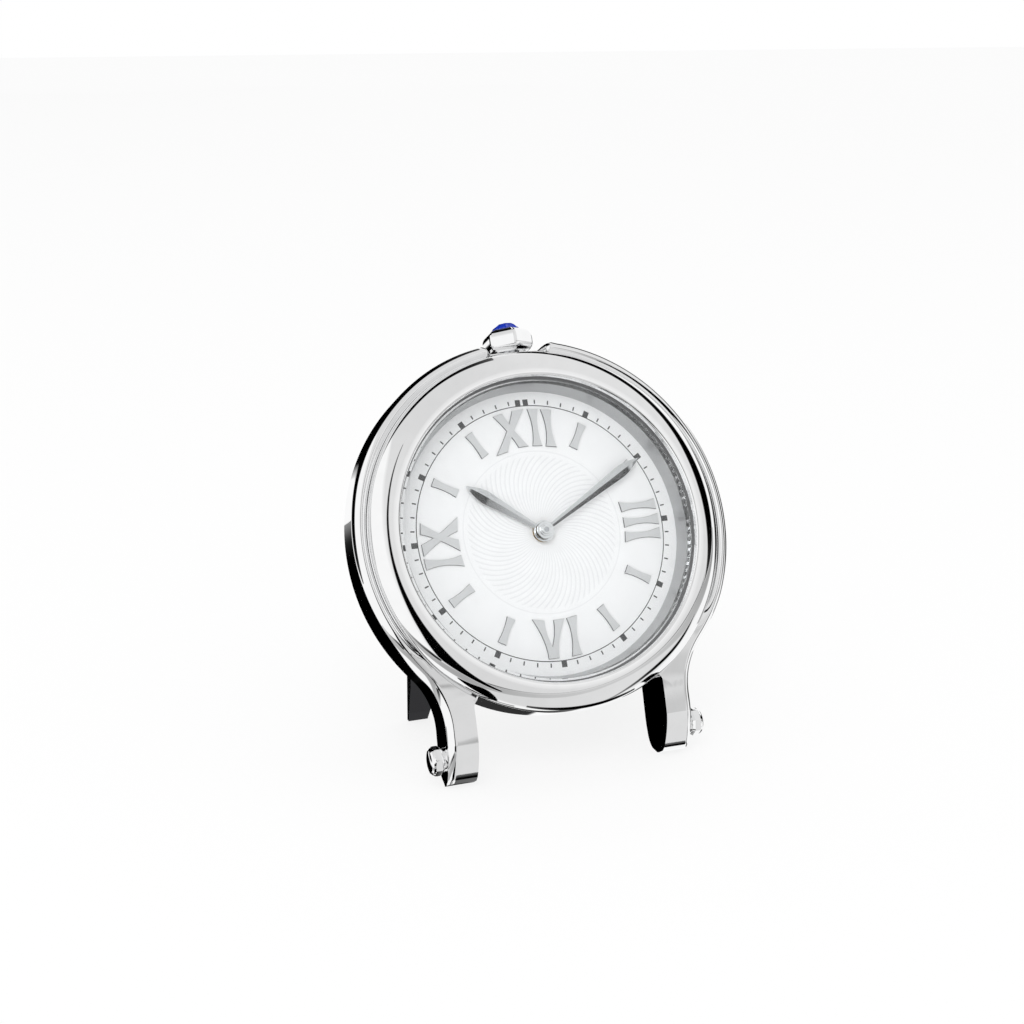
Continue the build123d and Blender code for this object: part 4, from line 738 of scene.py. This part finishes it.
# Table, backdrop and light: a white room, with sizes in metres. Flags, strips of black
# to pale card on a dome round the clock, give it its dark lines. Only its polished metal
# and its glass see them.
floor_half = 4.0
paper_seen = 0.80
room_level = 0.90
paper = bpy.data.materials.new("white_paper")
paper.use_nodes = True
tree = paper.node_tree
shader = tree.nodes["Principled BSDF"]
shader.inputs["Base Color"].default_value = (0.92, 0.92, 0.92, 1)
shader.inputs["Roughness"].default_value = 0.9
rays = node(tree, "ShaderNodeLightPath").outputs
seen = node(tree, "ShaderNodeMath", n0=rays["Is Glossy Ray"], n1=rays["Is Transmission Ray"])
seen.operation = "ADD"
part = node(tree, "ShaderNodeMath", n0=rays["Is Camera Ray"], n1=paper_seen)
part.operation = "MULTIPLY"
part = node(tree, "ShaderNodeMath", n0=part, n1=seen)
part.operation = "ADD"
white = node(tree, "ShaderNodeEmission", Color=(1, 1, 1, 1), Strength=1.0)
blend = node(tree, "ShaderNodeMixShader", n0=part, n1=shader, n2=white)
tree.links.new(blend.outputs[0], tree.nodes["Material Output"].inputs["Surface"])
floor_mesh = bpy.data.meshes.new("floor")
floor_corners = [(floor_half * x, floor_half * y, 0) for x, y in ((-1, -1), (1, -1), (1, 1), (-1, 1))]
floor_mesh.from_pydata(floor_corners, [], [(0, 1, 2, 3)])
floor = bpy.data.objects.new("floor", floor_mesh)
bpy.context.scene.collection.objects.link(floor)
floor_mesh.materials.append(paper)
floor.visible_glossy = False
floor.visible_transmission = False


def flag(name, rows, feather=2.0, around=0.9, radius=2.5):
    """A card on a dome about the clock, placed by the polished surface that shows it to
    the camera. Each row is a clock angle, the two tilts from the dial's axis between
    which a surface facing that way shows the card, and the card's level of light. A
    point at tilt t and clock angle c lies where the sight line v is reflected by the
    normal h at that tilt: v - 2 (v . h) h. Over the feather, in degrees, the level
    fades to that of the room around it."""
    rows = np.asarray(rows, dtype=float)
    along = np.linspace(0, len(rows) - 1, 8 * (len(rows) - 1) + 1)
    clock, low, high, level = (soft_line(along, np.arange(len(rows)), rows[:, k], 0.6) for k in range(4))
    fade = np.minimum(feather, 0.45 * (high - low))
    tilt = np.radians(np.stack([low, low + fade, (low + high) / 2, high - fade, high], axis=1))
    clock = np.radians(clock)[:, None]
    x, y, z = np.sin(tilt) * np.sin(clock), np.sin(tilt) * np.cos(clock), np.cos(tilt)
    back = y * math.sin(lean) - z * math.cos(lean)
    normal = np.stack([x, back, y * math.cos(lean) + z * math.sin(lean)], axis=-1)
    points = (sight - 2 * (normal @ sight)[..., None] * normal) * radius + dome_middle
    levels = around + (level[:, None] - around) * np.array([0, 1, 1, 1, 0])
    i, j = np.meshgrid(np.arange(len(along) - 1) * 5, np.arange(4), indexing="ij")
    faces = np.stack([i + j, i + j + 1, i + j + 6, i + j + 5], axis=-1).reshape(-1, 4)
    mesh = bpy.data.meshes.new(name)
    mesh.from_pydata(points.reshape(-1, 3).tolist(), [], faces.tolist())
    mesh.attributes.new("level", "FLOAT", "POINT").data.foreach_set("value", np.ravel(levels))
    mesh.materials.append(card)
    strip = bpy.data.objects.new(name, mesh)
    bpy.context.scene.collection.objects.link(strip)
    strip.visible_camera = False
    strip.visible_diffuse = False
    strip.visible_shadow = False


card = bpy.data.materials.new("studio_card")
card.use_nodes = True
tree = card.node_tree
tree.nodes.remove(tree.nodes["Principled BSDF"])
brightness = node(tree, "ShaderNodeAttribute")
brightness.attribute_name = "level"
glow = node(tree, "ShaderNodeEmission", Color=(1, 1, 1, 1), Strength=brightness.outputs["Fac"])
tree.links.new(glow.outputs[0], tree.nodes["Material Output"].inputs["Surface"])
dome_middle = np.array([0, 0, 0.04])
dial_middle = np.array([0, -0.00125, 0.0403])
camera_place = np.array([-0.102864, -0.2688425, 0.1319876])
sight = dial_middle - camera_place
sight /= np.linalg.norm(sight)
flag("card_middle", [
    (-20, 0, 64, 0.76), (0, 0, 50, 0.80), (30, 0, 34, 0.80), (60, 0, 26, 0.80), (90, 0, 24, 0.78),
    (120, 0, 26, 0.78), (140, 0, 34, 0.76), (165, 0, 48, 0.78), (190, 0, 60, 0.74), (210, 0, 60, 0.72),
    (230, 0, 42, 0.75), (250, 0, 24, 0.78), (280, 0, 26, 0.80), (300, 0, 40, 0.78), (310, 0, 72, 0.74),
    (340, 0, 64, 0.74), (360, 0, 50, 0.80), (380, 0, 42, 0.80),
], 7.0, 0.96, 3.2)
flag("flag_right", [
    (-6, 58, 76, 0), (0, 50, 76, 0), (10, 41, 60, 0), (20, 34, 51, 0), (30, 29, 44.5, 0), (40, 25, 39, 0),
    (50, 21, 34.5, 0), (60, 17, 31.5, 0), (70, 12.5, 30, 0), (80, 10.5, 29, 0), (90, 10.5, 28.5, 0),
    (100, 12, 27.5, 0), (110, 15, 24, 0.02), (118, 17, 19, 0.1),
])
flag("flag_under_right", [
    (96, 20, 30, 0.3), (108, 16, 31, 0.3), (120, 13, 30, 0.42), (132, 11, 27, 0.5), (142, 9.5, 20, 0.55),
    (152, 8.5, 15, 0.6), (166, 8.5, 14, 0.62), (182, 11, 20, 0.6), (198, 16.5, 27, 0.52),
    (209, 21, 36, 0.42), (218, 29, 47, 0.40), (228, 40, 58, 0.42), (238, 56, 72, 0.5), (248, 74, 88, 0.6),
], 2.5, 0.78, 2.6)
flag("flag_arch_line", [
    (116, 16, 18, 0.1), (126, 11.5, 13.5, 0.12), (138, 9, 11, 0.2), (150, 7.6, 9.2, 0.3),
    (166, 7.8, 9.0, 0.5), (182, 10.5, 11.7, 0.5), (198, 16, 17.6, 0.3), (208, 20.5, 23, 0.12),
    (216, 26, 29, 0.02),
], 0.8, 0.7, 2.55)
flag("flag_hook", [
    (128, 22, 25, 0.05), (134, 23, 29.5, 0), (141, 24, 33, 0), (150, 24.5, 34, 0), (156, 26.5, 35, 0.02),
    (163, 33, 41, 0.15), (170, 44, 50, 0.3), (178, 51, 58, 0.3), (185, 58, 80, 0.12), (191, 66, 96, 0.03),
    (199, 74, 96, 0.03), (206, 80, 97, 0.03), (214, 84, 97, 0.03), (222, 84, 97, 0.03),
], 2.0, 0.85)
flag("flag_side", [
    (60, 50, 70, 0.6), (70, 41, 72, 0.12), (82, 38, 72, 0.05), (92, 36, 72, 0.04), (101, 36, 74, 0.0),
    (107, 38, 76, 0.03), (113, 42, 78, 0.2), (124, 46, 80, 0.30), (131, 48, 80, 0.5),
], 3.0, 0.95)
flag("flag_upright", [(151.5, 62, 88, 0), (153, 39, 88, 0), (156, 38, 88, 0), (158.5, 42, 88, 0)], 1.0)
flag("flag_left", [
    (206, 26.5, 31.5, 0), (212, 24.5, 32, 0), (218, 22, 33, 0), (224, 19.5, 36, 0), (229, 17, 39.5, 0),
    (234, 15.2, 35, 0), (240, 14, 28.5, 0), (250, 13, 23, 0), (260, 12.8, 20, 0), (270, 12.8, 18.5, 0),
    (285, 13.6, 18.6, 0.01), (298, 16, 19.6, 0.02), (306, 18, 20, 0.1),
], 1.4)
flag("flag_tail", [
    (228, 36, 44, 0), (233, 41, 52, 0.03), (238, 50, 60, 0.2), (243, 60, 68, 0.5), (248, 69, 76, 0.7),
], 2.5, 0.8)
flag("flag_diamond", [
    (206.5, 60, 72, 0), (208, 47, 71, 0), (210.5, 39, 67, 0), (213, 38.5, 64, 0), (217, 44.5, 60.5, 0),
    (221.5, 51, 54, 0),
], 1.2, 0.7)
flag("flag_low", [
    (200, 62, 72, 0.3), (210, 68, 77, 0.35), (218, 72, 81, 0.4), (225, 76, 83, 0.5),
], 3.0, 0.75)
flag("flag_toe", [
    (160, 50, 58, 0.1), (168, 47, 62, 0), (180, 46, 62, 0), (190, 47, 60, 0), (198, 50, 58, 0.1),
], 2.0, 0.15, 2.45)
flag("flag_flank", [
    (224, 82, 98, 0.05), (229, 78, 98, 0), (236, 72, 98, 0), (246, 74, 98, 0), (254, 76, 98, 0),
    (262, 80, 98, 0), (270, 84, 98, 0), (275, 86, 98, 0.02), (280, 88, 98, 0.3),
], 1.6, 0.8, 2.4)
flag("flag_upper_left", [
    (260, 68, 74, 0.1), (266, 64, 80, 0.02), (273, 63, 83, 0), (282, 64, 86, 0), (291, 66, 92, 0),
    (300, 62, 96, 0), (307, 55, 97, 0), (316, 48, 97, 0), (326, 46, 92, 0), (335, 43, 82, 0),
    (343, 40, 70, 0.02), (350, 38, 56, 0.1),
], 2.0, 0.8)

world = bpy.data.worlds.new("white_room")
bpy.context.scene.world = world
world.use_nodes = True
tree = world.node_tree
rays = node(tree, "ShaderNodeLightPath").outputs
seen = node(tree, "ShaderNodeMath", n0=rays["Is Camera Ray"], n1=rays["Is Glossy Ray"])
seen.operation = "ADD"
seen_too = node(tree, "ShaderNodeMath", n0=seen, n1=rays["Is Transmission Ray"])
seen_too.operation = "ADD"
seen_too.use_clamp = True
level = node(tree, "ShaderNodeMapRange", Value=seen_too)
level.inputs["To Min"].default_value = room_level
level.inputs["To Max"].default_value = 1.0
tree.links.new(level.outputs[0], tree.nodes["Background"].inputs["Strength"])
tree.nodes["Background"].inputs["Color"].default_value = (1, 1, 1, 1)


def soft_lamp(name, place, aim, size, power):
    """A square area lamp at a place, turned to face another."""
    data = bpy.data.lights.new(name, "AREA")
    data.size = size
    data.energy = power
    lamp = bpy.data.objects.new(name, data)
    lamp.location = place
    lamp.rotation_euler = (Vector(aim) - Vector(place)).to_track_quat("-Z", "Y").to_euler()
    lamp.visible_glossy = False
    bpy.context.scene.collection.objects.link(lamp)


soft_lamp("key_lamp", (-0.5, -0.9, 1.1), dome_middle, 0.8, 6.0)

# Camera: it stands a little to the left of the dial's axis, as the photograph's did.
camera_aim = Vector((0.3265, 0.8986, -0.2930))
camera_data = bpy.data.cameras.new("camera")
camera_data.lens = 58.78
camera_data.sensor_width = 36
camera_data.clip_start = 0.01
camera = bpy.data.objects.new("camera", camera_data)
camera.location = camera_place
camera.rotation_euler = camera_aim.to_track_quat("-Z", "Y").to_euler()
bpy.context.scene.collection.objects.link(camera)
bpy.context.scene.camera = camera
bpy.context.scene.view_settings.view_transform = "Standard"
